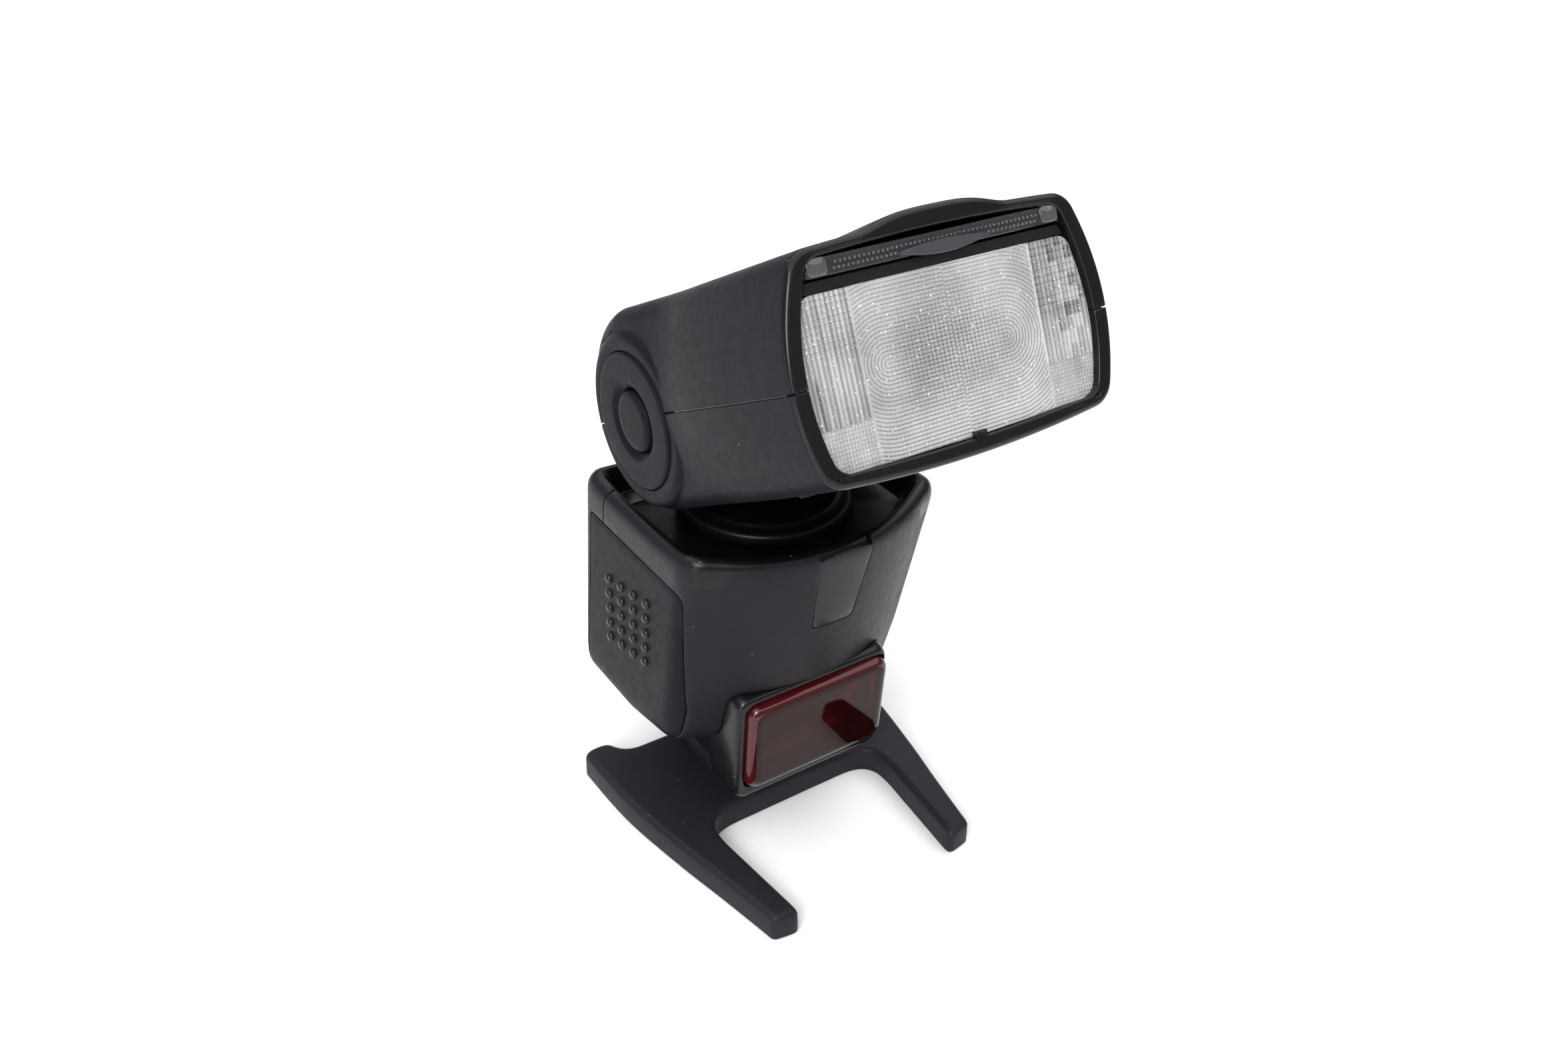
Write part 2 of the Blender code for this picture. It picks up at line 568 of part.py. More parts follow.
leg_out = catmull([(-39.8, 20.4), (-38.9, 0.0), (-35.6, -20.0), (-32.4, -35.0), (-29.5, -49.4)], 2)
tip = [(-29.1, -51.4), (-28.1, -52.2), (-24.0, -52.9), (-22.8, -52.6), (-22.4, -51.4)]
leg_in = catmull([(-22.9, -46.0), (-24.2, -33.0), (-25.0, -23.5), (-24.0, -18.4), (-19.5, -15.9), (-10.0, -15.6), (0.0, -15.6)], 2)
rear_e = catmull([(0.0, 16.6), (-12.0, 16.6), (-22.0, 16.8), (-27.5, 16.9), (-30.6, 18.6), (-31.8, 21.0)], 2)
rear_c = [(-33.2, 22.2), (-37.6, 22.2), (-39.2, 21.4)]
half = rear_e[1:] + rear_c + leg_out + tip + leg_in[:-1]
outline = [(0.0, 16.6)] + half + [(0.0, -15.6)] + [(-x, y) for x, y in half[::-1]]
stand = prism("stand", outline[::-1], "z", 0.0, STAND_T)
m = stand.modifiers.new("edge", "BEVEL")
m.width = 0.8 * MM
m.segments = 1
m.limit_method = "ANGLE"
m.angle_limit = math.radians(50)
bake(stand)
boss = loft("h_boss", [[(p[0], p[1], z) for p in rrect(-w, w, y0, y1, 3, 3)] for z, w, y0, y1 in
        ((5.0, 15.4, -13.6, 16.2), (STAND_T + 0.6, 15.4, -13.6, 16.2), (12.0, 13.8, -12.2, 15.2), (12.6, 13.2, -11.6, 14.6))], helper=True)
unite(stand, boss)
slot = box("h_slot", -9.65, 9.65, -9.7, 30, 8.4, 11.65, helper=True)
slot_top = box("h_slot_top", -6.6, 6.6, -9.7, 30, 10, 20, helper=True)
lock_dimple = cyl("h_dimple", "z", LOCK, 1.6, 4.6, 9, 12, helper=True)
bush_hole = cyl("h_bushhole", "z", (0.0, 7.5), 5.3, -1, 6.4, 20, helper=True)
cut(stand, slot, slot_top, lock_dimple, bush_hole)
dress(stand, *SHELL)
bush = ring("tripod_bush", "z", (0.0, 7.5), 5.0, 3.1, 0.4, 6.1, 20)
dress(bush, *BRASS)

# ================================================================ COLLAR AND NECK
AX = (0.0, SWIVEL_Y)
collar = turned("swivel_collar", "z", AX, ((76.2, 12.2), (76.6, 12.6), (82.9, 12.6), (82.95, 19.6), (83.6, 20.2), (85.6, 20.2), (86.1, 19.4), (86.3, 17.6), (87.2, 16.6)), 28)
dress(collar, *GLOSS)
nut = ring("swivel_nut", "z", AX, 16.0, 12.9, 76.8, 80.0, 24)
dress(nut, *STEEL)
PY, PZ = PIVOT[1], PIVOT[2]
np_ = [(PY - 8.6, 87.5), (PY + 8.6, 87.5)]
R_N = 12.0
a0 = math.asin(8.6 / R_N)
arc_n = []
for i in range(13):
    t = -math.pi / 2 + a0 + (2 * math.pi - 2 * a0) * i / 12
    arc_n.append((PY + R_N * math.cos(t), PZ + R_N * math.sin(t)))
neck = prism("neck", np_ + arc_n, "x", -12.4, 12.4)
boolean(neck, cyl("h_neckbore", "x", (PY, PZ), 4.3, -20, 20, 20, helper=True))
bake(neck)
dress(neck, *GLOSS)

# ================================================================ HEAD (built level about the tilt axis, then tilted)
CT, ST = math.cos(math.radians(TILT)), math.sin(math.radians(TILT))
FL = math.tan(math.radians(FACE_LEAN))


def seat(ob):
    """Head frame (tilt axis at the origin, front -Y) to world."""
    M = Matrix.Translation(Vector(PIVOT) * MM) @ Matrix.Rotation(-math.radians(TILT), 4, "X")
    ob.data.transform(M)
    ob.data.update()
    return ob


Y_OUT = [-74.9, -74.4, -72.4, -66, -56, -36, -18, 0]
Y_IN = [-74.6, -73.8, -72.0, -71.2, -56, -36, -18, 0]
TH = [90 * i / 6 for i in range(1, 7)]


def lerp(x, xs, ys):
    if x <= xs[0]:
        return ys[0]
    for i in range(len(xs) - 1):
        if x <= xs[i + 1]:
            return ys[i] + (ys[i + 1] - ys[i]) * (x - xs[i]) / (xs[i + 1] - xs[i])
    return ys[-1]


def half_profile(H, a, b, rc, cr):
    side = []
    hs = H - cr - rc
    for f in (0, 0.34, 0.68, 1.0):
        h = f * hs
        side.append((-(a - b * (h / 24.0) ** 2), h))
    xc = side[-1][0] + rc
    arc = []
    for i in range(1, 5):
        t = math.radians(180 - 90 * i / 4)
        arc.append((xc + rc * math.cos(t), hs + rc * math.sin(t)))
    top = []
    for i in range(1, 8):
        x = xc * (1 - 2 * i / 8)
        top.append((x, H - cr * (x / xc) ** 2))
    left = side + arc
    return left + top + [(-x, h) for x, h in left[::-1]]


def brow(x, y, up):
    if not up:
        return 0.0
    f = max(0.0, 1 - (y + 74.9) / 26.0)
    f = f * f * (3 - 2 * f)
    g = max(0.0, 1 - (x / 17.0) ** 2)
    return 1.9 * f * g * g * (3 - 2 * g)


def head_half(name, up, seam_gap):
    zs = 0.64
    rows_o, rows_i = [], []
    sgn = 1 if up else -1
    for k in range(len(Y_OUT)):
        for inn in (False, True):
            y = (Y_IN if inn else Y_OUT)[k]
            H = lerp(y, (-75, -58, -40, -16, 0), (24.2, 24.2, 24.2, 24.2, 24.2)) if up else lerp(y, (-75, -58, -40, -20, 0), (18.7, 19.8, 20.8, 21.5, 21.7))
            a = lerp(y, (-75, -60, -45, -32, -18, 0), (36.1, 35.2, 34.2, 33.1, 31.3, 30.3))
            b = lerp(y, (-75, -30, 0), (6.3, 5.4, 0.8))
            rc = lerp(y, (-75, -40, 0), (5.2, 5.6, 5.2))
            cr = lerp(y, (-75, -30, 0), (0.8, 0.8, 0.5)) if up else lerp(y, (-75, -30, 0), (1.5, 1.3, 0.6))
            H = H - zs * sgn
            if inn:
                lip = k <= 2
                H -= ((1.9 if up else 3.1) if lip else 2.2)
                a -= 3.5 if lip else 2.2
                rc -= (1.4 if lip else 1.6)
                if lip and not up:
                    cr = 0.75
            elif k == 0:
                H -= 0.5
                a -= 0.5
                rc -= 0.3
            pr = half_profile(H, a, b, rc, cr)
            row = []
            for x, h in pr:
                z = zs + sgn * (seam_gap + h * (H - seam_gap) / H)
                if not inn or k > 2:
                    z += brow(x, y, up) * (h / H)
                f = max(0.0, 1 - (y + 74.9) / 25.0)
                row.append((x, y + FL * z * f, z))
            (rows_i if inn else rows_o).append(row)
    R_end = {False: 23.7, True: 21.7}
    for t in TH:
        for inn in (False, True):
            Rv = (24.2 if up else 21.7)
            R = Rv + (23.0 - Rv) * math.sin(math.radians(t)) ** 2
            H = R - zs * sgn * math.cos(math.radians(t))
            a, b, rc, cr = 30.3, 0.8, 5.2, (0.5 if up else 0.6)
            if inn:
                H -= 2.2
                a -= 2.2
                rc -= 1.6
            pr = half_profile(H, a, b, rc, cr)
            row = []
            tt = math.radians(t)
            for x, h in pr:
                hh = seam_gap * 0 + h
                yy = hh * math.sin(tt)
                z = zs + sgn * (seam_gap + hh * math.cos(tt))
                row.append((x, yy, z))
            (rows_i if inn else rows_o).append(row)
    n = len(rows_o[0])
    K = len(rows_o)
    verts = [v for r in rows_o for v in r] + [v for r in rows_i for v in r]
    O = lambda k, j: k * n + j
    I = lambda k, j: K * n + k * n + j
    f = []
    for k in range(K - 1):
        for j in range(n - 1):
            f.append((O(k, j), O(k, j + 1), O(k + 1, j + 1), O(k + 1, j)))
            f.append((I(k, j + 1), I(k, j), I(k + 1, j), I(k + 1, j + 1)))
    for j in range(n - 1):
        f.append((O(0, j + 1), O(0, j), I(0, j), I(0, j + 1)))
        f.append((O(K - 1, j), O(K - 1, j + 1), I(K - 1, j + 1), I(K - 1, j)))
    for k in range(K - 1):
        f.append((O(k, 0), O(k + 1, 0), I(k + 1, 0), I(k, 0)))
        f.append((O(k + 1, n - 1), O(k, n - 1), I(k, n - 1), I(k + 1, n - 1)))
    me = bpy.data.meshes.new(name)
    me.from_pydata([tuple(q * MM for q in v) for v in verts], [], f)
    bm = bmesh.new()
    bm.from_mesh(me)
    bmesh.ops.remove_doubles(bm, verts=bm.verts, dist=2e-6)
    bmesh.ops.dissolve_degenerate(bm, edges=bm.edges, dist=1e-6)
    bmesh.ops.recalc_face_normals(bm, faces=bm.faces)
    bm.to_mesh(me)
    bm.free()
    ob = bpy.data.objects.new(name, me)
    for p in me.polygons:
        p.use_smooth = True
    return link(ob)


def loop_turned(name, axis, c, loop, n=28, helper=False, arc=(0, 360)):
    """Ring-like body: a closed profile loop of (t, r) carried round an axis."""
    def at(p, t):
        return {"x": (t, p[0], p[1]), "y": (p[0], t, p[1]), "z": (p[0], p[1], t)}[axis]
    m_ = len(loop)
    v, f = [], []
    for i in range(n):
        t = 2 * math.pi * i / n
        for tt, r in loop:
            v.append(at((c[0] + r * math.cos(t), c[1] + r * math.sin(t)), tt))
    for i in range(n):
        i2 = (i + 1) % n
        for k in range(m_):
            k2 = (k + 1) % m_
            f.append((i * m_ + k, i * m_ + k2, i2 * m_ + k2, i2 * m_ + k))
    return mesh_ob(name, v, f, helper, smooth=False)


upper = head_half("head_upper_shell", True, GAP / 2)
lower = head_half("head_lower_shell", False, GAP / 2)
slot_box = box("h_neck_slot", -13.2, 13.2, -10.4, 60, -60, 10.4, helper=True)
for o, up in ((upper, True), (lower, False)):
    z0, z1 = (0.64 + GAP / 2, 40) if up else (-40, 0.64 - GAP / 2)
    for s_ in (-1, 1):
        fl = turned("h_fl%d%d" % (up, s_), "x", (0, 0), tuple((s_ * t, r) for t, r in ((28.4, 19.6), (29.6, 19.5), (30.3, 18.9), (31.0, 18.2), (31.0, 17.0))), 32, helper=True)
        keep(fl, box("h_flk%d%d" % (up, s_), -40, 40, -40, 40, z0, z1, helper=True))
        boolean(o, fl, "UNION")
    bake(o)
    for s_ in (-1, 1):
        boolean(o, cyl("h_covhole%d%d" % (up, s_), "x", (0, 0), COVER_R + GAP, 20 * s_ if s_ > 0 else -40, 40 if s_ > 0 else -20, 32, helper=True))
    boolean(o, slot_box)
    bake(o)
for x_ in (-24.5, 24.5):
    boolean(lower, cyl("h_scr%d" % x_, "z", (x_, -52.0), 1.9, -30, -10, 12, helper=True))
bake(lower)
for nm, x_ in (("head_screw_left", -24.5), ("head_screw_right", 24.5)):
    sc = turned(nm, "z", (x_, -52.0), ((-19.3, 1.5), (-18.9, 1.6), (-17.6, 1.6), (-17.55, 0.9), (-14.0, 0.8)), 10)
    dress(seat(sc), *STEEL)
dress(seat(upper), *SHELL)
dress(seat(lower), *SHELL)

cov_l = loop_turned("pivot_cover_left", "x", (0, 0), ((-31.55, 14.5), (-31.35, 15.2), (-28.7, 15.2), (-28.7, 7.1), (-30.3, 7.1), (-31.5, 8.9)), 32)
cov_r = turned("pivot_cover_right", "x", (0, 0), ((28.7, 15.2), (31.35, 15.2), (31.55, 14.5), (31.5, 8.9), (31.1, 8.4)), 32)
button = turned("lock_button", "x", (0, 0), ((-31.7, 5.4), (-31.4, 6.4), (-31.0, 6.8), (-28.4, 6.8), (-28.35, 8.4), (-27.9, 8.4)), 24)
dress(seat(cov_l), *SHELL)
dress(seat(cov_r), *SHELL)
dress(seat(button), *SHELL)
shaft = turned("tilt_shaft", "x", (0, 0), ((-22.4, 4.0), (-22.3, 4.0), (28.0, 4.0)), 20)
dress(seat(shaft), *STEEL)
# lock spring, a real coil
crv = bpy.data.curves.new("h_coil", "CURVE")
crv.dimensions = "3D"
sp = crv.splines.new("POLY")
N = 30
turns = 3.0
sp.points.add(N)
for i in range(N + 1):
    t = 2 * math.pi * turns * i / N
    sp.points[i].co = ((-27.1 + 4.1 * i / N) * MM, 4.6 * math.cos(t) * MM, 4.6 * math.sin(t) * MM, 1)
crv.bevel_depth = 0.35 * MM
crv.bevel_resolution = 0
crv.use_fill_caps = True
cob = bpy.data.objects.new("h_coil", crv)
link(cob, helper=True)
bpy.context.view_layer.update()
me = bpy.data.meshes.new_from_object(cob.evaluated_get(bpy.context.evaluated_depsgraph_get()))
bm = bmesh.new()
bm.from_mesh(me)
bmesh.ops.remove_doubles(bm, verts=bm.verts, dist=1e-6)
bmesh.ops.recalc_face_normals(bm, faces=bm.faces)
bm.to_mesh(me)
bm.free()
bpy.data.objects.remove(cob, do_unlink=True)
spring = link(bpy.data.objects.new("lock_spring", me))
dress(seat(spring), *STEEL)

# ---- optics
def lens_edge(half, z0, z1, rc, b=6.3, sag=0.6):
    """Outline in (x, z) with bowed sides."""
    pts = []
    zz = [z0 + rc, -6.0, 0.6, 7.0, z1 - rc]
    right = [(half - b * (z / 24.0) ** 2, z) for z in zz]
    def arc(cx, cz, a):
        return [(cx + rc * math.cos(math.radians(a + 22.5 * i)), cz + rc * math.sin(math.radians(a + 22.5 * i))) for i in (1, 2, 3, 4)]
    xr = right[-1][0]
    tr = arc(xr - rc, z1 - rc, 0)
    xb = right[0][0]
    br = [(xb - rc + rc * math.cos(math.radians(-90 + 22.5 * i)), z0 + rc + rc * math.sin(math.radians(-90 + 22.5 * i))) for i in (0, 1, 2, 3)]
    bl = [(x, z0 - sag * (1 - (x / (xb - rc)) ** 2)) for x in (4.0, 12.0, 20.0)]
    rgt = bl + br + right + tr
    return rgt + [(-x, z) for x, z in rgt[::-1]]


def plate_y(name, outline, y0, y1, helper=False):
    n = len(outline)
    fr = lambda y, z: y + FL * z
    v = [(x, fr(y0, z), z) for x, z in outline] + [(x, fr(y1, z), z) for x, z in outline]
    f = [tuple(range(n)), tuple(range(n, 2 * n))[::-1]] + [(i, (i + 1) % n, n + (i + 1) % n, n + i) for i in range(n)]
    return mesh_ob(name, v, f, helper)


lens = plate_y("fresnel_lens", lens_edge(32.0, -14.4, 15.3, 3.0), -73.5, -71.8)
dress(seat(lens), *CLEAR)
bar = plate_y("lens_bar", [(-29.4, 15.75), (29.4, 15.75), (28.4, 17.7), (-28.4, 17.7)], -73.3, -69.5)
dress(seat(bar), *GLOSS)
WP_Z = 19.9
wp_out = [(-28.2, 18.1), (28.2, 18.1), (28.2, 19.3), (27.5, 20.4), (26.3, 21.1), (24.5, 21.5), (-24.5, 21.5), (-26.3, 21.1), (-27.5, 20.4), (-28.2, 19.3)]
wp = plate_y("wide_panel", wp_out, -74.2, -72.6)
sheet = box("h_sheet", -23.4, 23.4, -74.6, -36.4, WP_Z - 0.5 + 0.0, WP_Z + 0.5, helper=True)
tab = loft("h_tab", [[(x * s_, -74.6 + FL * 19 + dy, 18.6 - (1.25 * (1 - (x / 9.0) ** 2)) * q) for x in (-9, -6.5, -4, -1.5, 1.5, 4, 6.5, 9)] + [(9 * s_, -74.6 + FL * 19 + dy, 19.4), (-9 * s_, -74.6 + FL * 19 + dy, 19.4)] for s_, dy, q in ((1.0, -0.35, 1), (1.0, 1.0, 1))], helper=True, smooth=False)
unite(wp, sheet, tab)
dress(seat(wp), *CLEAR)
carrier = box("panel_carrier", -23.4, 23.4, -35.8, -27.0, WP_Z - 0.6, WP_Z + 0.6)
dress(seat(carrier), "white_plastic", (0.8, 0.8, 0.8), 0.4)

def ysec(y, w, h, r, zc=0.0):
    return [(p[0], y, p[1] + zc) for p in rrect(-w, w, -h, h, r, 3)]
refl = loft("reflector", [ysec(-64.0, 25.6, 13.6, 2.0), ysec(-63.0, 25.6, 13.6, 2.0), ysec(-55, 24.0, 12.2, 3.0), ysec(-49, 21.0, 9.0, 4.0), ysec(-44, 17.5, 5.0, 3.0), ysec(-41.6, 16.0, 3.4, 2.0)])
refl_in = loft("h_refl_in", [ysec(-70.0, 24.6, 12.6, 1.8), ysec(-63.0, 24.6, 12.6, 1.8), ysec(-55, 23.0, 11.2, 2.8), ysec(-49, 20.0, 8.0, 3.6), ysec(-44.6, 16.6, 4.2, 2.6), ysec(-42.6, 15.4, 2.4, 1.6)], helper=True)
cut(refl, refl_in)
dress(seat(refl), *ALU)
tube = turned("flash_tube", "x", (-46.2, 0.0), ((-15.6, 0.8), (-14.6, 1.4), (-14.2, 1.8), (14.2, 1.8), (14.6, 1.4), (15.6, 0.8)), 14)
dress(seat(tube), *CLEAR)
carr = box("zoom_carriage", -21.5, 21.5, -41.2, -35.5, -17.3, 5.6, 0.6, 1)
bake(carr)
for x_ in (-18.0, 18.0):
    boolean(carr, cyl("h_rodhole%d" % x_, "y", (x_, -15.3), 1.35, -50, -20, 12, helper=True))
bake(carr)
dress(seat(carr), *GREY)
screw = turned("lead_screw", "y", (-18.0, -15.3), ((-68.0, 0.9), (-24.6, 0.9), (-24.5, 0.9)), 12)
dress(seat(screw), *STEEL)
grod = turned("guide_rod", "y", (18.0, -15.3), ((-68.0, 0.9), (-24.6, 0.9), (-24.5, 0.9)), 12)
dress(seat(grod), *STEEL)
motor = turned("zoom_motor", "y", (-18.0, -15.3), ((-24.2, 2.9), (-23.9, 3.2), (-13.6, 3.2), (-13.3, 2.9)), 16)
dress(seat(motor), *STEEL)

# smooth only where a body is round; keep hard edges crisp
for ob in col.objects:
    me = ob.data
    if hasattr(me, "shade_flat"):
        for p in me.polygons:
            p.use_smooth = True
        me.set_sharp_from_angle(angle=math.radians(32))

# joint axes: the origin of each moving piece sits on its axis
def origin(name, at):
    ob = bpy.data.objects[name]
    at = Vector(at) * MM
    ob.data.transform(Matrix.Translation(-at))
    ob.location = at
for nm in ("head_upper_shell", "head_lower_shell", "pivot_cover_left", "pivot_cover_right", "lock_button", "tilt_shaft"):
    origin(nm, PIVOT)
for nm in ("swivel_collar", "neck", "swivel_nut"):
    origin(nm, (0, SWIVEL_Y, 84))
origin("lock_lever", (LEVER[0], LEVER[1], 17.2))
origin("battery_door", tuple(p0))
origin("door_hinge_pin", tuple(p0))
bpy.context.view_layer.update()
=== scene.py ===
"""Looks of a shoe-mount flash on its table stand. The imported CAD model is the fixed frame; every piece here rides on one of its bodies."""
import bpy, bmesh, json, math
import numpy as np
from mathutils import Matrix, Vector
from mathutils.bvhtree import BVHTree
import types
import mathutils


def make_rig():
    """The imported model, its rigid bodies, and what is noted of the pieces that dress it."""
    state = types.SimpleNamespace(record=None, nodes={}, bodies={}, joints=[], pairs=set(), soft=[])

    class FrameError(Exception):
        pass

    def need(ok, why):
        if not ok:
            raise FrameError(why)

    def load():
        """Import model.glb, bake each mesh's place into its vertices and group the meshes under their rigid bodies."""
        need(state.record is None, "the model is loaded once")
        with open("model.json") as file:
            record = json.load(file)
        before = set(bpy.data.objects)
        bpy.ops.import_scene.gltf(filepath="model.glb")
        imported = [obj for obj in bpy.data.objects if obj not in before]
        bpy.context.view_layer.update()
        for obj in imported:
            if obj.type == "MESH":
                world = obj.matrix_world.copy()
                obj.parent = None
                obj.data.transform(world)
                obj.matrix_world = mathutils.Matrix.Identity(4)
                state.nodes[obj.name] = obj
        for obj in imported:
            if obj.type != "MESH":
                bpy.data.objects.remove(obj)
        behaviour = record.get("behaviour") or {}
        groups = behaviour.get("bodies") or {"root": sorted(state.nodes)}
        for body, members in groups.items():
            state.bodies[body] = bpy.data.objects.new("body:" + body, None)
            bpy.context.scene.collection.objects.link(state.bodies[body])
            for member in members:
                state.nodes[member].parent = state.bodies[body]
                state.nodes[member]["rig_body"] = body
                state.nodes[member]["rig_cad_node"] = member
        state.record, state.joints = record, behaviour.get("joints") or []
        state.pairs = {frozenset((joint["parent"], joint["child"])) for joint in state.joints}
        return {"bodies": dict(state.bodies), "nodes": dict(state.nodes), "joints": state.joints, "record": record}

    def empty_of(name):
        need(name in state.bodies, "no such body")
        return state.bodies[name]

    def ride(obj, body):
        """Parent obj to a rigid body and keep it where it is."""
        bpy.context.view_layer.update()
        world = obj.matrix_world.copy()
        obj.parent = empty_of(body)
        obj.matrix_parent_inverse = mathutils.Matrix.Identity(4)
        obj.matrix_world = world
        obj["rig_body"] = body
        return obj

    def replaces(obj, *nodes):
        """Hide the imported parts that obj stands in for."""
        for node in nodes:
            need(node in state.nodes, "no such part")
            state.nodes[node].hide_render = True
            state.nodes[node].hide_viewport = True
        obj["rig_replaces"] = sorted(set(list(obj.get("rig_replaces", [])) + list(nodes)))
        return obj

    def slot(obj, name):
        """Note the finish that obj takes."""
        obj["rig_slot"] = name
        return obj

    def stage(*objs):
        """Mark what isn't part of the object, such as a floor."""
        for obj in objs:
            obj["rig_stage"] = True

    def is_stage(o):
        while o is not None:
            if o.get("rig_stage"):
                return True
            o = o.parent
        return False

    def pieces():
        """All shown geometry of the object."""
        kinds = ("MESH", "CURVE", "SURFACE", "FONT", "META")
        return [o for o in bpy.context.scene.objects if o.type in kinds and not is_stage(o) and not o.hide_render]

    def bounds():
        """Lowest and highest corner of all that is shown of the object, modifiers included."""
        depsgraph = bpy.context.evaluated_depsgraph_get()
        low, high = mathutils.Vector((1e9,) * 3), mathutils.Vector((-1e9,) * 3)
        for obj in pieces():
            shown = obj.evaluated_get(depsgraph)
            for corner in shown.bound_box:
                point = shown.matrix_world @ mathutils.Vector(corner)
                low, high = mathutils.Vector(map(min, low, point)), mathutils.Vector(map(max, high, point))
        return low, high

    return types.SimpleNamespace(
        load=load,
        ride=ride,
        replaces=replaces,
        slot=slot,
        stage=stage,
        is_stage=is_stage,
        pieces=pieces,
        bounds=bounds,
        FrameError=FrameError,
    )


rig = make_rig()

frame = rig.load()
NODES = frame["nodes"]
CAD_BOX = [list(v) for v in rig.bounds()]
SC = bpy.context.scene
MM = 0.001
PIVOT = (0.0, 2.13, 110.57)
TILT = 28.0
SWIVEL_Y = -2.0
FL = math.tan(math.radians(-3.0))
LEAN_F, LEAN_R, LEAN_D = 0.225, 0.185, 0.205
rad = math.radians

for o in list(bpy.data.objects):
    if o.name in ("Cube", "Light", "Camera"):
        bpy.data.objects.remove(o, do_unlink=True)


# ------------------------------------------------------------------ mesh helpers (drawn in mm)
def new_mesh(name, verts, faces):
    me = bpy.data.meshes.new(name)
    v = np.asarray(verts, float) * MM
    me.from_pydata(v.tolist(), [], faces)
    me.update()
    ob = bpy.data.objects.new(name, me)
    SC.collection.objects.link(ob)
    return ob


def tidy(ob, dist=2e-6):
    bm = bmesh.new()
    bm.from_mesh(ob.data)
    bmesh.ops.remove_doubles(bm, verts=bm.verts, dist=dist)
    bmesh.ops.recalc_face_normals(bm, faces=bm.faces)
    bm.to_mesh(ob.data)
    bm.free()
    return ob


def shade(ob, angle=38):
    me = ob.data
    me.polygons.foreach_set("use_smooth", [True] * len(me.polygons))
    me.set_sharp_from_angle(angle=rad(angle))
    me.update()
    return ob


def loft(name, rings, fan=True):
    n = len(rings[0])
    verts = [tuple(v) for r in rings for v in r]
    faces = []
    for k in range(len(rings) - 1):
        for i in range(n):
            j = (i + 1) % n
            faces.append((k * n + i, k * n + j, (k + 1) * n + j, (k + 1) * n + i))
    for k, flip in ((0, True), (len(rings) - 1, False)):
        if fan:
            c = len(verts)
            r = rings[k]
            verts.append(tuple(sum(p[a] for p in r) / n for a in range(3)))
            for i in range(n):
                j = (i + 1) % n
                faces.append((k * n + j, k * n + i, c) if flip else (k * n + i, k * n + j, c))
        else:
            f = tuple(range(k * n, k * n + n))
            faces.append(f[::-1] if flip else f)
    return tidy(new_mesh(name, verts, faces))


def prism(name, poly, axis, lo, hi):
    def at(p, t):
        return {"x": (t, p[0], p[1]), "y": (p[0], t, p[1]), "z": (p[0], p[1], t)}[axis]
    n = len(poly)
    verts = [at(p, lo) for p in poly] + [at(p, hi) for p in poly]
    faces = [tuple(range(n)), tuple(range(n, 2 * n))[::-1]] + [(i, (i + 1) % n, n + (i + 1) % n, n + i) for i in range(n)]
    return tidy(new_mesh(name, verts, faces))


def box(name, x0, x1, y0, y1, z0, z1):
    return prism(name, [(x0, y0), (x1, y0), (x1, y1), (x0, y1)], "z", z0, z1)


def circle(cx, cy, r, n=48):
    return [(cx + r * math.cos(2 * math.pi * i / n), cy + r * math.sin(2 * math.pi * i / n)) for i in range(n)]


def turned(name, axis, c, prof, n=96):
    def at(p, t):
        return {"x": (t, p[0], p[1]), "y": (p[0], t, p[1]), "z": (p[0], p[1], t)}[axis]
    return loft(name, [[at(p, t) for p in circle(c[0], c[1], r, n)] for t, r in prof])


def loop_turned(name, axis, c, loop, n=96):
    def at(p, t):
        return {"x": (t, p[0], p[1]), "y": (p[0], t, p[1]), "z": (p[0], p[1], t)}[axis]
    m = len(loop)
    v, f = [], []
    for i in range(n):
        t = 2 * math.pi * i / n
        for tt, r in loop:
            v.append(at((c[0] + r * math.cos(t), c[1] + r * math.sin(t)), tt))
    for i in range(n):
        i2 = (i + 1) % n
        for k in range(m):
            k2 = (k + 1) % m
            f.append((i * m + k, i * m + k2, i2 * m + k2, i2 * m + k))
    return tidy(new_mesh(name, v, f))


def rrect(x0, x1, y0, y1, r, n=8):
    pts = []
    for cx, cy, a in ((x1 - r, y1 - r, 0), (x0 + r, y1 - r, 90), (x0 + r, y0 + r, 180), (x1 - r, y0 + r, 270)):
        for i in range(n + 1):
            t = rad(a + 90 * i / n)
            pts.append((cx + r * math.cos(t), cy + r * math.sin(t)))
    return pts


def drop(*obs):
    for o in obs:
        bpy.data.objects.remove(o, do_unlink=True)


def bake(ob):
    bpy.context.view_layer.update()
    dg = bpy.context.evaluated_depsgraph_get()
    me = bpy.data.meshes.new_from_object(ob.evaluated_get(dg))
    ob.modifiers.clear()
    ob.data = me
    return ob


def boolean(ob, other, op="DIFFERENCE"):
    m = ob.modifiers.new(op.lower(), "BOOLEAN")
    m.operation = op
    m.object = other
    m.solver = "EXACT"


def cut(ob, *others, lose=True):
    for o in others:
        boolean(ob, o)
    bake(ob)
    if lose:
        drop(*others)
    return ob


def keep(ob, other, lose=True):
    boolean(ob, other, "INTERSECT")
    bake(ob)
    if lose:
        drop(other)
    return ob


def unite(ob, *others):
    for o in others:
        boolean(ob, o, "UNION")
    bake(ob)
    drop(*others)
    return ob


def dup(ob, name):
    o = ob.copy()
    o.data = ob.data.copy()
    o.name = name
    SC.collection.objects.link(o)
    return o


